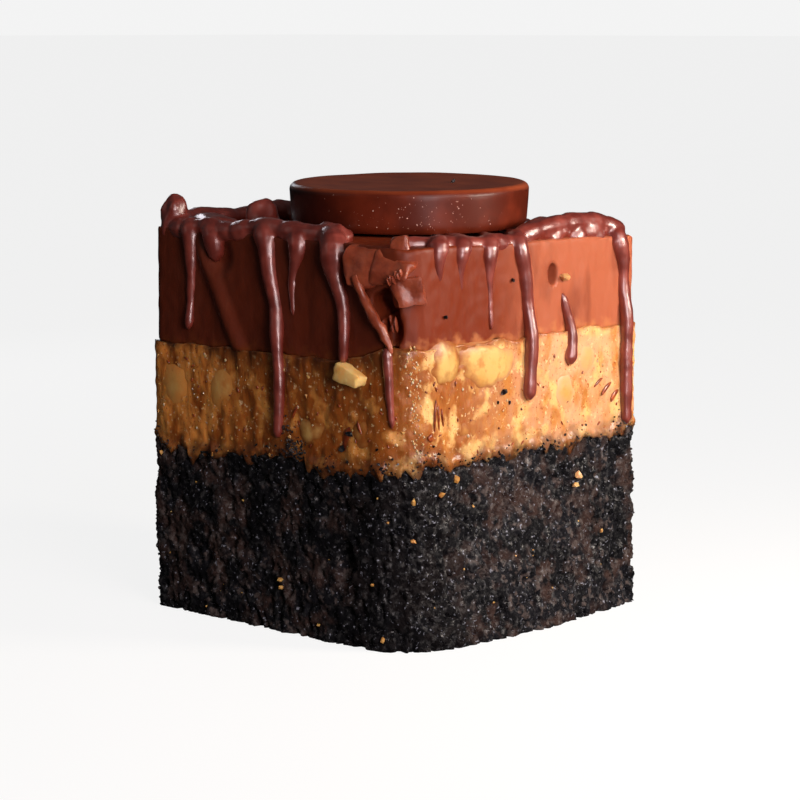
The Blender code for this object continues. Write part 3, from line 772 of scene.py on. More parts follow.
def ganache_fine_relief(point, normal):
    """Fine drag lines of the knife on the sides, and on the left the broad smear with the dent beside it."""
    upright = 1 - abs(normal.z)
    drag = noise.noise(Vector((point.x / (0.8 * MM), point.y / (0.8 * MM), point.z / (6 * MM))))
    soft = noise.noise(point / (1.7 * MM))
    relief = 0.05 * drag * upright + 0.09 * soft
    if point.y < -0.45 * SIDE and normal.y < -0.5:
        dent = Vector(((point.x + 12.6 * MM) / (3.0 * MM), 0, (point.z - 60.4 * MM) / (3.0 * MM)))
        relief -= 1.0 * (1 - smooth_step(0.3, 1.3, dent.length))
        down = (61.5 * MM - point.z) / (14 * MM)
        aside = abs(point.x - (-16.6 + 7.6 * down) * MM) / (2.6 * MM)
        relief += 0.9 * (1 - smooth_step(0.1, 1.0, aside)) * smooth_step(-0.2, 0.2, down)
    return MM * relief


def cut_out(core, cutter):
    """Cuts one closed piece out of another."""
    cut = core.modifiers.new("cut", "BOOLEAN")
    cut.operation = "DIFFERENCE"
    cut.object = cutter
    cut.solver = "EXACT"
    with_modifiers_applied(core)
    bpy.data.objects.remove(cutter)


def ganache():
    """The ganache layer, torn open at its front corner, with a pit in its right side."""

    def low(x, y):
        return caramel_top(x, y) - OVERLAP

    block = layer_block(GANACHE_CELLS, GANACHE_ROWS, GANACHE_HALF, low, ganache_top, ganache_core_relief,
                        fine_caps=True)
    core = new_piece("ganache", block)
    for centre, half_sizes, turn, seed in GANACHE_HOLLOWS:
        hollow = bmesh.new()
        add_lump(hollow, Vector(centre) * MM, Vector(half_sizes) * MM, turn=turn, seed=seed)
        cut_out(core, new_piece("hollow", hollow))
    piece = pushed_out(melted_together(core, GANACHE_GRAIN), ganache_fine_relief)
    mark_heights(piece, "above_caramel", caramel_top)
    return piece


def torn_ganache():
    """What stands out at the torn corner: plates, thin ribs, a comb of ridges and the strand that hangs."""
    strand = on_side(FRONT_LEFT, TORN_STRAND, GANACHE_HALF)
    bm = drawn_strands([(curve_through(strand, DRIZZLE_STEP), lambda share: MM * (1.4 - 0.6 * share))])
    for corners, back, seed in TORN_PLATES:
        add_plate(bm, corners, back, seed)
    for k, (place, height, length) in enumerate(((24.4, 52.4, 0.9), (24.8, 51.2, 0.8), (25.5, 51.8, 1.2))):
        centre = Vector((place, -27.2, height)) * MM
        add_lump(bm, centre, Vector((0.15, 0.35, length)) * MM, tilt=0.2, seed=2.0 * k, steps=2)
    for k in range(6):
        comb = Vector((26.3 + 0.36 * k, -29.75 + 0.17 * k, 58.7 + 0.24 * k + 0.2 * math.sin(2.6 * k))) * MM
        add_lump(bm, comb, Vector((0.11, 0.4, 0.75)) * MM, tilt=0.5, seed=1.3 * k, steps=2)
    piece = new_piece("torn_ganache", bm)
    piece.data.set_sharp_from_angle(angle=math.radians(48))
    return piece


# Drizzle


def stand_off(height, radius):
    """How far a run's centre stands out from the ganache: half sunk in it, and laid on the caramel below."""
    laid = CARAMEL_HALF - GANACHE_HALF + 0.45 * radius
    fused = smooth_step(CARAMEL_TOP_RIGHT + 1.2 * MM, CARAMEL_TOP_RIGHT + 5 * MM, height)
    return laid + (0.05 * radius - laid) * fused


def run_down(side, place, drop, drift, radius_top, radius_tip):
    """Points of a run from just under the top edge down to its tip. Short runs lie flatter."""
    steps = max(1, round(drop / (5 * MM)))
    sunk = 0.5 * MM * (1 - smooth_step(10 * MM, 18 * MM, drop))
    points = []
    for k in range(1, steps + 1):
        share = k / steps
        wobble = 0.35 * MM * math.sin(5 * share + 300 * place)
        height = GANACHE_TOP - drop * share
        radius = radius_top + (radius_tip - radius_top) * share
        bowed = place + drift * math.sin(1.9 * share) + wobble
        points.append(side.point(bowed, height, GANACHE_HALF + stand_off(height, radius) - sunk))
    return points


def top_point(flat, radius):
    """A point of the drizzle on the top, part sunk in the ganache, and just under the disc if it crosses."""
    reach = (flat - DISC_CENTRE.xy).length
    free = smooth_step(DISC_RADIUS - 1 * MM, DISC_RADIUS + 4 * MM, reach)
    laid = ganache_top(*flat) + 0.33 * radius
    pressed = disc_low(flat) - radius
    return Vector((*flat, pressed + (laid - pressed) * free))


def far_side(start, heading):
    """The side where a line across the top comes out at the back, and the place along it."""
    reach_x = (start.x + GANACHE_HALF) / heading.x
    reach_y = (start.y - GANACHE_HALF) / heading.y
    if reach_x < reach_y:
        return BACK_LEFT, (start - heading * reach_x).y, reach_x
    return BACK_RIGHT, (start - heading * reach_y).x, reach_y


def drawn_strands(strands):
    """A bmesh of round strands, each given as its path and its radius for 0 to 1 along it."""
    drawn = bpy.data.curves.new("strands", "CURVE")
    drawn.dimensions = "3D"
    drawn.bevel_depth = 1
    drawn.bevel_resolution = 3
    drawn.use_fill_caps = True
    for index, (path, radius_at) in enumerate(strands):
        strand = drawn.splines.new("POLY")
        strand.points.add(len(path) - 1)
        last = len(path) - 1
        for k, point in enumerate(path):
            end = min(k, last - k) * DRIZZLE_STEP
            dome = math.sin(0.5 * math.pi * min(1, 0.25 + end / (1.2 * MM)))
            beads = 1 + 0.16 * noise.noise(Vector((k * DRIZZLE_STEP / (3.0 * MM), 4.7 * index, 0)))
            strand.points[k].co = (*point, 1)
            strand.points[k].radius = radius_at(k / last) * dome * beads
    curve = bpy.data.objects.new("strands", drawn)
    bpy.context.scene.collection.objects.link(curve)
    graph = bpy.context.evaluated_depsgraph_get()
    bm = bmesh.new()
    bm.from_mesh(bpy.data.meshes.new_from_object(curve.evaluated_get(graph)))
    bpy.data.objects.remove(curve)
    return bm


def drizzle_line(side, run, back_drop, index):
    """The path and the radius of one line of drizzle, from a front side across the top to the back."""
    place, drop, drift, radius_top, radius_tip = (MM * value for value in run)
    angle = DRIZZLE_HEADING + math.radians(4) * math.sin(2.3 * index)
    heading = Vector((math.cos(angle), math.sin(angle)))
    start = side.point(place, 0, GANACHE_HALF).xy
    back, back_place, length = far_side(start, heading)
    front_run = run_down(side, place, drop, drift, radius_top, radius_tip) if drop > SHORTEST_RUN else []
    lips = []
    for end_side, end_place in ((side, place), (back, back_place)):
        rim = end_side.point(end_place, 0, GANACHE_HALF - 0.7 * MM)
        lips.append(Vector((*rim.xy, ganache_top(*rim.xy) - 0.3 * MM)))
    parts = max(2, round(length / (8 * MM)))
    across = []
    for k in range(1, parts):
        wobble = heading.orthogonal() * 0.6 * MM * math.sin(2.1 * k + index)
        across.append(top_point(start - heading * length * k / parts + wobble, radius_top))
    back_run = run_down(back, back_place, back_drop * MM, 0.6 * MM, radius_top, radius_tip)
    path = curve_through([*reversed(front_run), lips[0], *across, lips[1], *back_run], DRIZZLE_STEP)
    share_front = drop / (drop + length + back_drop * MM)
    share_back = back_drop * MM / (drop + length + back_drop * MM)

    def radius_at(share):
        falling = max(1 - share / share_front, 1 - (1 - share) / share_back, 0)
        from_rim = (share - share_front) * drop / share_front
        flare = 0.65 * MM * math.exp(-((from_rim / (3.6 * MM)) ** 2))
        return radius_top + (radius_tip - radius_top) * falling**0.8 + flare

    return path, radius_at


def drizzle():
    """All the drizzle, melted into one skin: lines over the piece, two short runs, bands and lumps."""
    runs = [(FRONT_LEFT, run) for run in FRONT_LEFT_RUNS] + [(FRONT_RIGHT, run) for run in FRONT_RIGHT_RUNS]
    strands = [drizzle_line(side, run, BACK_DROPS[k], k) for k, (side, run) in enumerate(runs)]
    for index, (band, radius) in enumerate(EDGE_BANDS):
        path = curve_through([Vector(point) * MM for point in band], DRIZZLE_STEP)
        swell = [1 + 0.3 * noise.noise(Vector((0.7 * k, 3.1 * index, 0))) for k in range(11)]
        strands.append(
            (path, lambda share, radius=radius, swell=swell: radius * MM * swell[round(10 * share)]))
    short_run = [
        FRONT_RIGHT.point(place * MM, height * MM, GANACHE_HALF + stand * MM)
        for place, height, stand in SHORT_RUN
    ]
    strands.append((curve_through(short_run, DRIZZLE_STEP), lambda share: (0.75 + 0.5 * share) * MM))
    torn_run = on_side(FRONT_LEFT, TORN_RUN, CARAMEL_HALF)
    strands.append((curve_through(torn_run, DRIZZLE_STEP), lambda share: (0.9 - 0.35 * share) * MM))
    bm = drawn_strands(strands)
    for k, (centre, half_sizes, turn) in enumerate(DRIZZLE_LUMPS):
        add_lump(bm, Vector(centre) * MM, Vector(half_sizes) * MM, turn=math.radians(turn), seed=3.0 * k)
    piece = melted_together(new_piece("chocolate_drizzle", bm), DRIZZLE_GRAIN)
    return pushed_out(piece, lambda point, normal: 0.05 * MM * noise.noise(point / (0.9 * MM)))


# Disc


def disc_place():
    """The matrix that lays the disc on the drizzle, leaning a little towards the front."""
    leaning = Matrix.Rotation(DISC_LEAN, 4, Vector((0, 0, 1)).cross(DISC_LEANS_TO))
    return Matrix.Translation((DISC_CENTRE.x, DISC_CENTRE.y, DISC_LOW)) @ leaning


def moulded_disc():
    """The moulded disc: a turned profile with a round upper edge and a slight dish in its top."""
    bm = bmesh.new()
    profile = [
        (0, DISC_HEIGHT - DISC_DISH),
        (0.5 * DISC_RADIUS, DISC_HEIGHT - DISC_DISH),
        (0.86 * DISC_RADIUS, DISC_HEIGHT - 0.8 * DISC_DISH),
    ]
    for k in range(DISC_ARC_STEPS + 1):
        angle = math.radians(90 - 90 * k / DISC_ARC_STEPS)
        profile.append((DISC_RADIUS - DISC_EDGE_RADIUS * (1 - math.cos(angle)),
                        DISC_HEIGHT - DISC_EDGE_RADIUS * (1 - math.sin(angle))))
    for k in range(1, DISC_WALL_STEPS + 1):
        inward = DISC_DRAFT * k / DISC_WALL_STEPS
        profile.append((DISC_RADIUS - inward, DISC_HEIGHT - DISC_EDGE_RADIUS - 0.6 * MM * k))
    profile += [
        (DISC_RADIUS - DISC_DRAFT - 0.1 * MM, DISC_FOOT_RADIUS),
        (DISC_RADIUS - DISC_DRAFT - DISC_FOOT_RADIUS, 0),
        (0, 0),
    ]
    verts = [bm.verts.new((radius, 0, height)) for radius, height in profile]
    edges = [bm.edges.new(pair) for pair in zip(verts, verts[1:])]
    bmesh.ops.spin(bm, geom=verts + edges, cent=(0, 0, 0), axis=(0, 0, 1), angle=math.tau,
                   steps=DISC_TURN_STEPS, use_merge=True)
    bmesh.ops.remove_doubles(bm, verts=bm.verts, dist=0.01 * MM)
    for vert in bm.verts:
        vert.co += 0.07 * MM * Vector(noise.noise_vector(vert.co / (6 * MM)))
    bmesh.ops.transform(bm, matrix=disc_place(), verts=bm.verts)
    disc = new_piece("moulded_disc", bm)
    disc.data.set_sharp_from_angle(angle=math.radians(50))
    return disc


def sugar_specks():
    """Bright grains of sugar that stick to the front of the disc."""
    bm = bmesh.new()
    draw = random.Random(61)
    for _ in range(SUGAR_COUNT):
        azimuth = math.radians(draw.gauss(48, 18))
        height = DISC_HEIGHT * (0.1 + 0.8 * draw.random() ** 1.3)
        out = DISC_RADIUS - DISC_DRAFT * (1 - height / DISC_HEIGHT)
        spot = disc_place() @ Vector((math.sin(azimuth) * out, -math.cos(azimuth) * out, height))
        add_chip(bm, spot, MM * (0.06 + 0.18 * draw.random() ** 2), draw, 0.9)
    return new_piece("sugar_specks", bm, smooth=False)


# The golden crumbs that the photo shows on the crumb layer, as side, place, height and size in millimetres
LARGER_GOLDEN_CRUMBS = (
    (FRONT_LEFT, 10.2, 2.4, 0.8),
    (FRONT_LEFT, 24.0, 1.9, 1.0),
    (FRONT_LEFT, 21.9, 10.6, 0.7),
    (FRONT_RIGHT, -26.6, 17.7, 1.0),
    (FRONT_RIGHT, 18.5, 13.7, 0.8),
    (FRONT_LEFT, 1.8, 8.6, 1.1),
    (FRONT_LEFT, 1.9, 7.4, 0.9),
)


def golden_crumbs():
    """A few golden crumbs of caramel and nut on the crumb layer."""
    bm = bmesh.new()
    draw = random.Random(71)
    spots = list(LARGER_GOLDEN_CRUMBS)
    for side in SIDES:
        for _ in range(GOLDEN_CRUMB_COUNT):
            spots.append((side, draw.uniform(-26, 26), draw.uniform(1, 25), draw.uniform(0.2, 0.55)))
    for side, place, height, size in spots:
        spot = on_relief(side, place * MM, height * MM, CAKE_HALF, crumb_relief, 0.2 * size * MM)
        add_chip(bm, spot, size * MM, draw, 0.8)
    return mark(new_piece("golden_crumbs", bm, smooth=False), "proud", lambda point: 0.3)


# Materials


def colour(hex_value):
    """The linear colour with full alpha of an sRGB hex value."""
    shares = [int(hex_value[k:k + 2], 16) / 255 for k in (1, 3, 5)]
    return (*(share / 12.92 if share <= 0.04045 else ((share + 0.055) / 1.055) ** 2.4 for share in shares), 1)


def add_node(tree, kind, settings=None, inputs=None):
    """Adds a shader node with its settings, and sets or links its inputs."""
    node = tree.nodes.new("ShaderNode" + kind)
    for name, value in (settings or {}).items():
        setattr(node, name, value)
    for key, value in (inputs or {}).items():
        if isinstance(value, bpy.types.NodeSocket):
            tree.links.new(value, node.inputs[key])
        else:
            node.inputs[key].default_value = value
    return node


def new_material(name):
    """An empty material. Returns it with its node tree and its object coordinates."""
    material = bpy.data.materials.new(name)
    material.use_nodes = True
    tree = material.node_tree
    tree.nodes.clear()
    return material, tree, add_node(tree, "TexCoord").outputs["Object"]


def finished(material, tree, shader_inputs):
    """Closes a material with its shader."""
    shader = add_node(tree, "BsdfPrincipled", inputs=shader_inputs)
    add_node(tree, "OutputMaterial", inputs={"Surface": shader.outputs[0]})
    return material


def patches(tree, where, size, low, high):
    """0 to 1 in soft patches of about this size, where low and high set how much they cover."""
    cloud = add_node(tree, "TexNoise", inputs={"Vector": where, "Scale": 1 / size, "Detail": 3.0})
    return add_node(tree, "MapRange", inputs={
        "Value": cloud.outputs[0], "From Min": low, "From Max": high}).outputs[0]


def along_axis(tree, where, axis, start, end, low=0.0, high=1.0):
    """Low before one place along an axis of the piece, high past another, and a blend between them."""
    split = add_node(tree, "SeparateXYZ", inputs={"Vector": where})
    return add_node(tree, "MapRange", inputs={
        "Value": split.outputs[axis], "From Min": start, "From Max": end, "To Min": low,
        "To Max": high}).outputs[0]


def laid_over(tree, ground, *layers):
    """The ground's colour with others laid over it one by one, each as far as its share says."""
    for share, tone in layers:
        tone = colour(tone) if isinstance(tone, str) else tone
        ground = add_node(tree, "Mix", {"data_type": "RGBA"}, {0: share, 6: ground, 7: tone}).outputs[2]
    return ground


def grained(tree, where, size, strength, depth, detail=4.0):
    """A normal for grain of this size and depth, which is too fine for the mesh."""
    cloud = add_node(tree, "TexNoise", inputs={"Vector": where, "Scale": 1 / size, "Detail": detail})
    return add_node(tree, "Bump", inputs={
        "Height": cloud.outputs[0], "Strength": strength, "Distance": depth}).outputs[0]


def dragged_down(tree, where, squeeze):
    """Coordinates in which a pattern is drawn out downwards, as the knife drew the layers."""
    return add_node(tree, "Mapping", {"vector_type": "POINT"}, {
        "Vector": where, "Scale": (1.0, 1.0, squeeze)}).outputs[0]


def crumb_material():
    """Dark cocoa cake, baked and torn: nearly black and moist in patches, drier and browner elsewhere, with
    painted shade at its front corner and grey-blue specks of painted highlight.
    """
    material, tree, where = new_material("torn_cocoa_crumb")
    split = add_node(tree, "SeparateXYZ", inputs={"Vector": where})
    to_corner = add_node(tree, "Math", {"operation": "SUBTRACT"}, {
        0: split.outputs["X"], 1: split.outputs["Y"]})
    # Painted shade: the colour goes nearly black towards the front corner, where the crumb should look shaded.
    painted_corner_shade = add_node(tree, "MapRange", inputs={
        "Value": to_corner.outputs[0], "From Min": 42 * MM, "From Max": 50 * MM, "To Min": 0.0,
        "To Max": 0.92})
    tone = laid_over(
        tree, colour("#131317"),
        (patches(tree, where, 6.0 * MM, 0.45, 0.58), "#352723"),
        (patches(tree, where, 1.4 * MM, 0.54, 0.64), "#4C4340"),
        (painted_corner_shade.outputs[0], "#09080A"),
        (patches(tree, where, 4.5 * MM, 0.50, 0.58), "#0A0A0D"),
        # Painted highlight: fine grey-blue specks stand in for glints on the crumb.
        (patches(tree, where, 0.6 * MM, 0.64, 0.72), "#878A95"),
    )
    rough = add_node(tree, "MapRange", inputs={
        "Value": patches(tree, where, 1.3 * MM, 0.46, 0.62), "To Min": 0.85, "To Max": 0.25})
    wet = add_node(tree, "MapRange", inputs={
        "Value": patches(tree, where, 0.9 * MM, 0.52, 0.64), "To Min": 0.1, "To Max": 0.7})
    return finished(material, tree, {
        "Base Color": tone, "Roughness": rough.outputs[0], "Specular IOR Level": wet.outputs[0],
        "Sheen Weight": 0.02, "Sheen Roughness": 0.5, "Sheen Tint": colour("#C9CFDD"),
        "Normal": grained(tree, where, 0.5 * MM, 1.0, 0.3 * MM)})


def caramel_ground(tree, where):
    """The caramel's own colour: amber, paler towards the right end, more orange towards the left end."""
    return laid_over(
        tree, colour("#96541E"),
        (along_axis(tree, where, "Y", -17 * MM, 8 * MM), "#D8A074"),
        (along_axis(tree, where, "X", -5 * MM, -15 * MM, high=0.9), "#E09244"),
    )


def caramel_material():
    """Boiled pecan caramel, spread while soft and cut.

    It is glossy, slightly clear and amber to cream. The ganache stains it brown along their joint, and crumbs
    do where they were rubbed into it. The brown band under the ganache is partly painted shade: it reaches
    lowest on the front left side and near the front corner. On the front left side all its tones are darker
    copies, painted shade.
    """
    material, tree, where = new_material("cut_pecan_caramel")
    dragged = dragged_down(tree, where, 0.45)
    # Painted shade: on the front left side the amber, the cream and the brown under the ganache are darker
    # copies.
    off_shaded_left = along_axis(tree, where, "Y", -28.6 * MM, -25 * MM)
    amber = laid_over(tree, colour("#8E4A16"), (off_shaded_left, "#BA7838"))
    cream = laid_over(tree, colour("#CE8C44"), (off_shaded_left, "#E2B472"))
    stain_and_shade_tone = laid_over(tree, colour("#45200F"), (off_shaded_left, "#8A4A22"))
    above_crumb = add_node(tree, "Attribute", {"attribute_name": "above_crumb"}).outputs["Fac"]
    rubbed_edge = add_node(tree, "Math", {"operation": "MULTIPLY_ADD"}, {
        0: patches(tree, where, 1.8 * MM, 0.3, 0.7), 1: 2.4, 2: above_crumb})
    rubbed = add_node(tree, "MapRange", inputs={
        "Value": rubbed_edge.outputs[0], "From Min": 0.2, "From Max": 4.4, "To Min": 0.92, "To Max": 0.0})
    above_caramel = add_node(tree, "Attribute", {"attribute_name": "above_caramel"}).outputs["Fac"]
    # The brown band under the ganache reaches lowest where shade falls under it: partly real staining, partly
    # painted shade.
    stain_and_shade_depth = add_node(tree, "Mix", {"data_type": "FLOAT"}, {
        0: off_shaded_left,
        2: along_axis(tree, where, "X", -19 * MM, -10 * MM, 1.4, 5.6),
        3: along_axis(tree, where, "Y", -12 * MM, -3 * MM, 1.8, 0.7)})
    stain_and_shade_edge = add_node(tree, "Math", {"operation": "DIVIDE"}, {
        0: above_caramel, 1: stain_and_shade_depth.outputs[0]})
    stain_and_shade_ragged = add_node(tree, "Math", {"operation": "MULTIPLY_ADD"}, {
        0: patches(tree, dragged, 2.0 * MM, 0.3, 0.7), 1: -1.0, 2: stain_and_shade_edge.outputs[0]})
    stain_and_shade = add_node(tree, "MapRange", inputs={
        "Value": stain_and_shade_ragged.outputs[0], "From Min": -1.4, "From Max": -0.3, "To Min": 0.0, "To Max": 0.9})
    tone = laid_over(
        tree, caramel_ground(tree, where),
        (patches(tree, dragged, 3.6 * MM, 0.48, 0.64), amber),
        (patches(tree, where, 4.2 * MM, 0.52, 0.64), cream),
        (patches(tree, where, 0.45 * MM, 0.60, 0.70), "#A0501E"),
        (patches(tree, where, 0.7 * MM, 0.62, 0.76), "#EBCF9C"),
        (rubbed.outputs[0], "#4A2813"),
        (stain_and_shade.outputs[0], stain_and_shade_tone),
    )
    return finished(material, tree, {
        "Base Color": tone, "Roughness": 0.42, "IOR": 1.48, "Specular IOR Level": 0.3, "Coat Weight": 0.2,
        "Coat Roughness": 0.12, "Subsurface Weight": 0.35, "Subsurface Radius": (1.0, 0.5, 0.2),
        "Subsurface Scale": 1.6 * MM, "Normal": grained(tree, dragged, 0.6 * MM, 0.6, 0.2 * MM)})


def pecan_material():
    """Pecan flesh, chopped: pale, oily and fine-grained, from cream to a toasted brown.

    A film of caramel covers it where it dips into the caramel.
    """
    material, tree, where = new_material("chopped_pecan")
    proud = add_node(tree, "Attribute", {"attribute_name": "proud"}).outputs["Fac"]
    film_edge = add_node(tree, "Math", {"operation": "MULTIPLY_ADD"}, {
        0: patches(tree, where, 1.5 * MM, 0.3, 0.7), 1: -0.2, 2: proud})
    film = add_node(tree, "MapRange", inputs={
        "Value": film_edge.outputs[0], "From Min": -0.1, "From Max": 0.3, "To Min": 1.0, "To Max": 0.0})
    tone = laid_over(
        tree, colour("#D6AC64"),
        (patches(tree, where, 4.5 * MM, 0.42, 0.62), "#CC9850"),
        (patches(tree, where, 1.6 * MM, 0.56, 0.74), "#BE8444"),
        (film.outputs[0], caramel_ground(tree, where)),
    )
    return finished(material, tree, {
        "Base Color": tone, "Roughness": 0.4, "IOR": 1.47, "Subsurface Weight": 0.3,
        "Subsurface Radius": (1.0, 0.6, 0.3), "Subsurface Scale": 1.2 * MM,
        "Normal": grained(tree, where, 0.4 * MM, 0.3, 0.08 * MM, 3.0)})


def chip_material():
    """A fresh-cut face of pecan, dry and pale cream."""
    material, tree, where = new_material("fresh_pecan_chip")
    tone = laid_over(tree, colour("#FFD586"), (patches(tree, where, 1.6 * MM, 0.42, 0.66), "#FFC26A"))
    return finished(material, tree, {
        "Base Color": tone, "Roughness": 0.55, "IOR": 1.47, "Subsurface Weight": 0.3,
        "Subsurface Radius": (1.0, 0.6, 0.3), "Subsurface Scale": 1.0 * MM,
        "Normal": grained(tree, where, 0.5 * MM, 0.5, 0.12 * MM, 3.0)})


def skin_material():
    """Pecan skin soaked in caramel: thin, reddish brown and wet."""
    material, tree, where = new_material("soaked_pecan_skin")
    tone = laid_over(tree, colour("#6E2A10"), (patches(tree, where, 0.9 * MM, 0.4, 0.66), "#A04A1C"))
    return finished(material, tree, {
        "Base Color": tone, "Roughness": 0.28, "IOR": 1.47, "Coat Weight": 0.5, "Coat Roughness": 0.08})


def syrup_glint_material():
    """Sugar syrup that wept from the caramel: clear, amber and wet, with a near-white colour that paints
    glints.
    """
    material, tree, where = new_material("syrup_with_painted_glints")
    # Painted glints: the near-white colour makes the small beads read as highlights, partly real gloss, partly
    # painted.
    tone = laid_over(tree, colour("#F8E2C0"), (patches(tree, where, 1.5 * MM, 0.4, 0.66), "#E8B878"))
    return finished(material, tree, {
        "Base Color": tone, "Roughness": 0.12, "IOR": 1.46, "Transmission Weight": 0.4,
        "Subsurface Weight": 0.3, "Subsurface Radius": (1.0, 0.5, 0.2), "Subsurface Scale": 0.8 * MM})


def ganache_material():
    """Set ganache, cut with a warm knife: smooth and satin, and reddish brown.

    It is darker where it was smeared, and tinged with caramel along its lower edge. Painted shade darkens its
    front left side, and painted light makes it lighter from about the middle of its right side towards the
    back.
    """
    material, tree, where = new_material("cut_ganache")
    dragged = dragged_down(tree, where, 0.4)
    # Painted shade: the front left side gets darker copies of the ganache's colours.
    off_shaded_left = along_axis(tree, where, "Y", -28.9 * MM, -25.5 * MM)
    dark = laid_over(tree, colour("#5E2616"), (off_shaded_left, "#702A12"))
    orange = laid_over(tree, colour("#6E3312"), (off_shaded_left, "#BD7A4C"))
    above = add_node(tree, "Attribute", {"attribute_name": "above_caramel"}).outputs["Fac"]
    edge = add_node(tree, "Math", {"operation": "MULTIPLY_ADD"}, {
        0: patches(tree, where, 2.2 * MM, 0.3, 0.7), 1: 2.4, 2: above})
    tinge = add_node(tree, "MapRange", inputs={
        "Value": edge.outputs[0], "From Min": 0.3, "From Max": 2.6, "To Min": 0.8, "To Max": 0.0})
    tone = laid_over(
        tree, dark,
        # Painted light: lighter towards +Y, where the right side is lit.
        (along_axis(tree, where, "Y", -9 * MM, 4 * MM), "#A3593D"),
        (patches(tree, dragged, 5 * MM, 0.50, 0.80), "#6E3220"),
        (tinge.outputs[0], orange),
    )
    rough = add_node(tree, "MapRange", inputs={
        "Value": patches(tree, dragged, 1.6 * MM, 0.35, 0.7), "To Min": 0.38, "To Max": 0.54})
    return finished(material, tree, {
        "Base Color": tone, "Roughness": rough.outputs[0], "IOR": 1.46, "Specular IOR Level": 0.22,
        "Subsurface Weight": 0.12, "Subsurface Radius": (1.0, 0.4, 0.2), "Subsurface Scale": 0.8 * MM,
        "Normal": grained(tree, dragged, 0.7 * MM, 0.25, 0.1 * MM)})


def torn_ganache_material():
    """Ganache torn cold from the corner: ragged, lighter than the cut sides, with shiny ridges."""
    material, tree, where = new_material("torn_ganache_corner")
    tone = laid_over(tree, colour("#7A3420"), (patches(tree, where, 2.0 * MM, 0.4, 0.66), "#94472D"))
    return finished(material, tree, {
        "Base Color": tone, "Roughness": 0.34, "IOR": 1.48, "Subsurface Weight": 0.12,
        "Subsurface Radius": (1.0, 0.4, 0.2), "Subsurface Scale": 0.8 * MM,
        "Normal": grained(tree, where, 0.5 * MM, 0.5, 0.15 * MM)})


def drizzle_material():
    """Melted dark chocolate that set as it ran: rounded, deep red-brown, with a satin shine."""
    material, tree, where = new_material("set_chocolate_drizzle")
    tone = laid_over(tree, colour("#66281C"), (patches(tree, where, 3.0 * MM, 0.4, 0.68), "#884638"))
    return finished(material, tree, {
        "Base Color": tone, "Roughness": 0.42, "IOR": 1.5, "Coat Weight": 1.0, "Coat Roughness": 0.32,
        "Coat IOR": 1.7, "Coat Tint": colour("#FFDCDC"),
        "Normal": grained(tree, where, 0.6 * MM, 0.25, 0.08 * MM, 3.0)})


def disc_material():
    """Tempered dark chocolate from a mould: smooth, slightly shiny, paler on its top, and darker towards -X,
    painted shade.
    """
    material, tree, where = new_material("tempered_chocolate")
    paler_top = laid_over(tree, colour("#7F361D"), (patches(tree, where, 5 * MM, 0.32, 0.72), "#9A4828"))
    tone = laid_over(
        tree, colour("#4E190B"),
        (patches(tree, where, 6 * MM, 0.42, 0.66), "#652412"),
        # Painted shade: darker towards -X, the side away from the lights.
        (along_axis(tree, where, "X", 10 * MM, -5 * MM, high=0.9), "#220A06"),
        (along_axis(tree, where, "Z", 70.6 * MM, 71.2 * MM, high=0.9), paler_top),
    )
    return finished(material, tree, {
        "Base Color": tone, "Roughness": 0.36, "IOR": 1.5, "Specular IOR Level": 0.25,
        "Normal": grained(tree, where, 0.9 * MM, 0.2, 0.08 * MM, 3.0)})


def sugar_glint_material():
    """Grains of sugar: clear, colourless and sharp-edged, with a pale pinkish colour that paints glints."""
    material, tree, where = new_material("sugar_grain_painted_glint")
    # Painted glints: the pale pink colour makes the grains read as small highlights on the disc.
    tone = laid_over(tree, colour("#E8C4B4"), (patches(tree, where, 0.5 * MM, 0.4, 0.6), "#B98472"))
    return finished(material, tree, {"Base Color": tone, "Roughness": 0.2, "IOR": 1.54})


# Stage


def camera_at_photo_angle():
    """Sets the camera where the photograph was taken: 43 degrees round the front corner, 8 degrees down."""
    azimuth, pitch, aside = math.radians(43), math.radians(8), math.radians(0.0924)
    distance, eye_height = 0.446, 0.0975
    heading = azimuth - aside
    level = math.cos(pitch)
    forward = Vector((-math.sin(heading) * level, math.cos(heading) * level, -math.sin(pitch)))
    right = forward.cross(Vector((0, 0, 1))).normalized()
    turned = Matrix((right, right.cross(forward), -forward)).transposed().to_4x4()
    camera = bpy.data.objects.new("camera", bpy.data.cameras.new("camera"))
    camera.data.lens = 120
    camera.data.sensor_width = 36
    camera.data.clip_start = 0.01
    camera.matrix_world = Matrix.Translation(
        (math.sin(azimuth) * distance, -math.cos(azimuth) * distance, eye_height)) @ turned
    bpy.context.scene.collection.objects.link(camera)
    bpy.context.scene.camera = camera


def soft_light(name, azimuth, elevation, distance, target, size, power, tint):
    """Adds a square soft light at a bearing and height from a target, aimed at it."""
    light = bpy.data.lights.new(name, "AREA")
    light.size = size
    light.energy = power
    light.color = colour(tint)[:3]
    a, e = math.radians(azimuth), math.radians(elevation)
    away = Vector((math.sin(a) * math.cos(e), -math.cos(a) * math.cos(e), math.sin(e)))
    placed = bpy.data.objects.new(name, light)
    aimed = away.to_track_quat("Z", "Y").to_matrix().to_4x4()
    placed.matrix_world = Matrix.Translation(Vector(target) * MM + away * distance) @ aimed
    bpy.context.scene.collection.objects.link(placed)


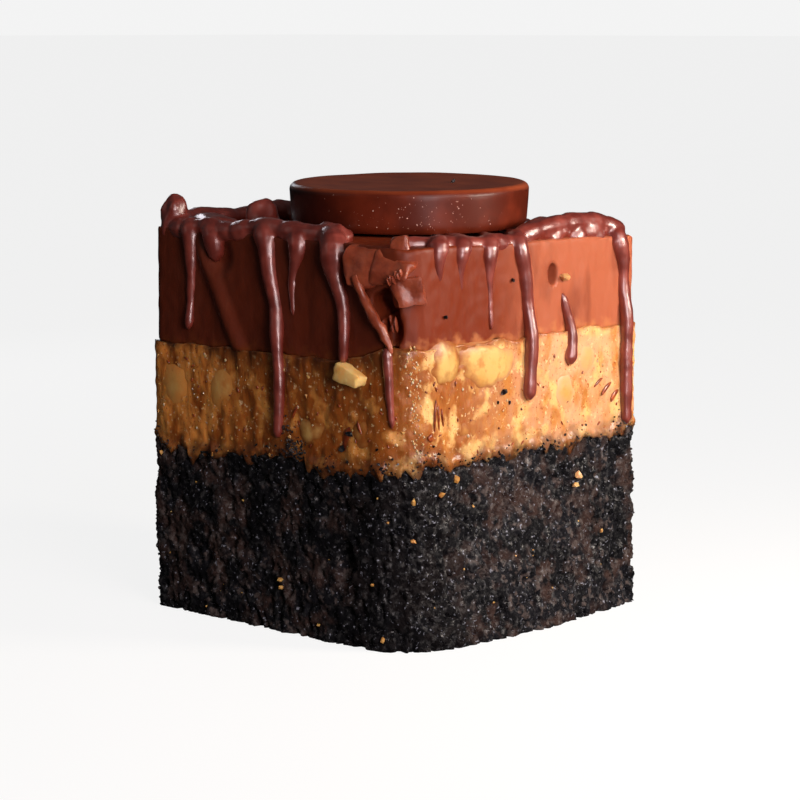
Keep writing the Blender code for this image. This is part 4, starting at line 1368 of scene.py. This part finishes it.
def studio():
    """The pale floor and backdrop, and the soft lights."""
    bm = bmesh.new()
    bmesh.ops.create_grid(bm, x_segments=1, y_segments=1, size=20)
    floor = new_piece("floor", bm)
    material, tree, _ = new_material("pale_floor")
    seen = add_node(tree, "LightPath").outputs["Is Camera Ray"]
    bounce = add_node(tree, "BsdfDiffuse", inputs={"Color": colour("#5A5856")})
    pale = add_node(tree, "BsdfDiffuse", inputs={"Color": colour("#6E6D6B")})
    glow = add_node(tree, "Emission", inputs={"Color": colour("#FFFFFF"), "Strength": 0.86})
    lifted = add_node(tree, "AddShader", inputs={0: pale.outputs[0], 1: glow.outputs[0]})
    shown = add_node(tree, "MixShader", inputs={0: seen, 1: bounce.outputs[0], 2: lifted.outputs[0]})
    add_node(tree, "OutputMaterial", inputs={"Surface": shown.outputs[0]})
    floor.data.materials.append(material)
    world = bpy.data.worlds.new("pale_room")
    world.use_nodes = True
    tree = world.node_tree
    tree.nodes.clear()
    seen = add_node(tree, "LightPath").outputs["Is Camera Ray"]
    room = add_node(tree, "Background", inputs={"Color": colour("#F4F6FA"), "Strength": 0.05})
    backdrop = add_node(tree, "Background", inputs={"Color": colour("#FFFFFF"), "Strength": 0.9})
    shown = add_node(tree, "MixShader", inputs={0: seen, 1: room.outputs[0], 2: backdrop.outputs[0]})
    add_node(tree, "OutputWorld", inputs={"Surface": shown.outputs[0]})
    bpy.context.scene.world = world
    bpy.context.scene.view_settings.view_transform = "Standard"
    soft_light("key_near", 113, 24, 0.15, (28, 8, 38), 0.05, 0.30, "#FFF1E2")
    soft_light("window", 71, 24, 0.42, (10, -10, 40), 0.28, 1.15, "#FFF4F2")
    soft_light("low_window", 64, 5, 0.34, (14, -14, 44), 0.08, 0.42, "#FFECEE")
    soft_light("rim", -118, 16, 0.40, (0, 0, 60), 0.07, 0.08, "#F2F6FF")
    soft_light("left_fill", -30, 30, 0.55, (0, -10, 35), 0.25, 0.06, "#FFF6EE")


def dress(piece, nodes, material):
    """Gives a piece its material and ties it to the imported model."""
    piece.data.materials.clear()
    piece.data.materials.append(material)
    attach(piece, "root")
    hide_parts(*nodes)


def main():
    """Makes every piece with its material, and the stage around them."""
    crumb, pecan = crumb_material(), pecan_material()
    cake, caramel = ("chocolate_cake_base",), ("pecan_caramel",)
    ganache_node, disc = ("ganache_with_drizzle",), ("chocolate_disc",)
    dress(chocolate_crumb(), cake, crumb)
    dress(loose_crumbs(), cake, crumb)
    dress(golden_crumbs(), cake, pecan)
    dress(crumbs_on_caramel(), caramel, crumb)
    dress(pecan_caramel(), caramel, caramel_material())
    dress(pecan_pieces(), caramel, pecan)
    dress(pecan_bits(), caramel, pecan)
    dress(loose_pecan_chip(), caramel, chip_material())
    dress(pecan_skins(), caramel, skin_material())
    dress(syrup_beads(), caramel, syrup_glint_material())
    dress(ganache(), ganache_node, ganache_material())
    dress(torn_ganache(), ganache_node, torn_ganache_material())
    dress(drizzle(), ganache_node, drizzle_material())
    dress(moulded_disc(), disc, disc_material())
    dress(sugar_specks(), disc, sugar_glint_material())
    studio()
    camera_at_photo_angle()


main()
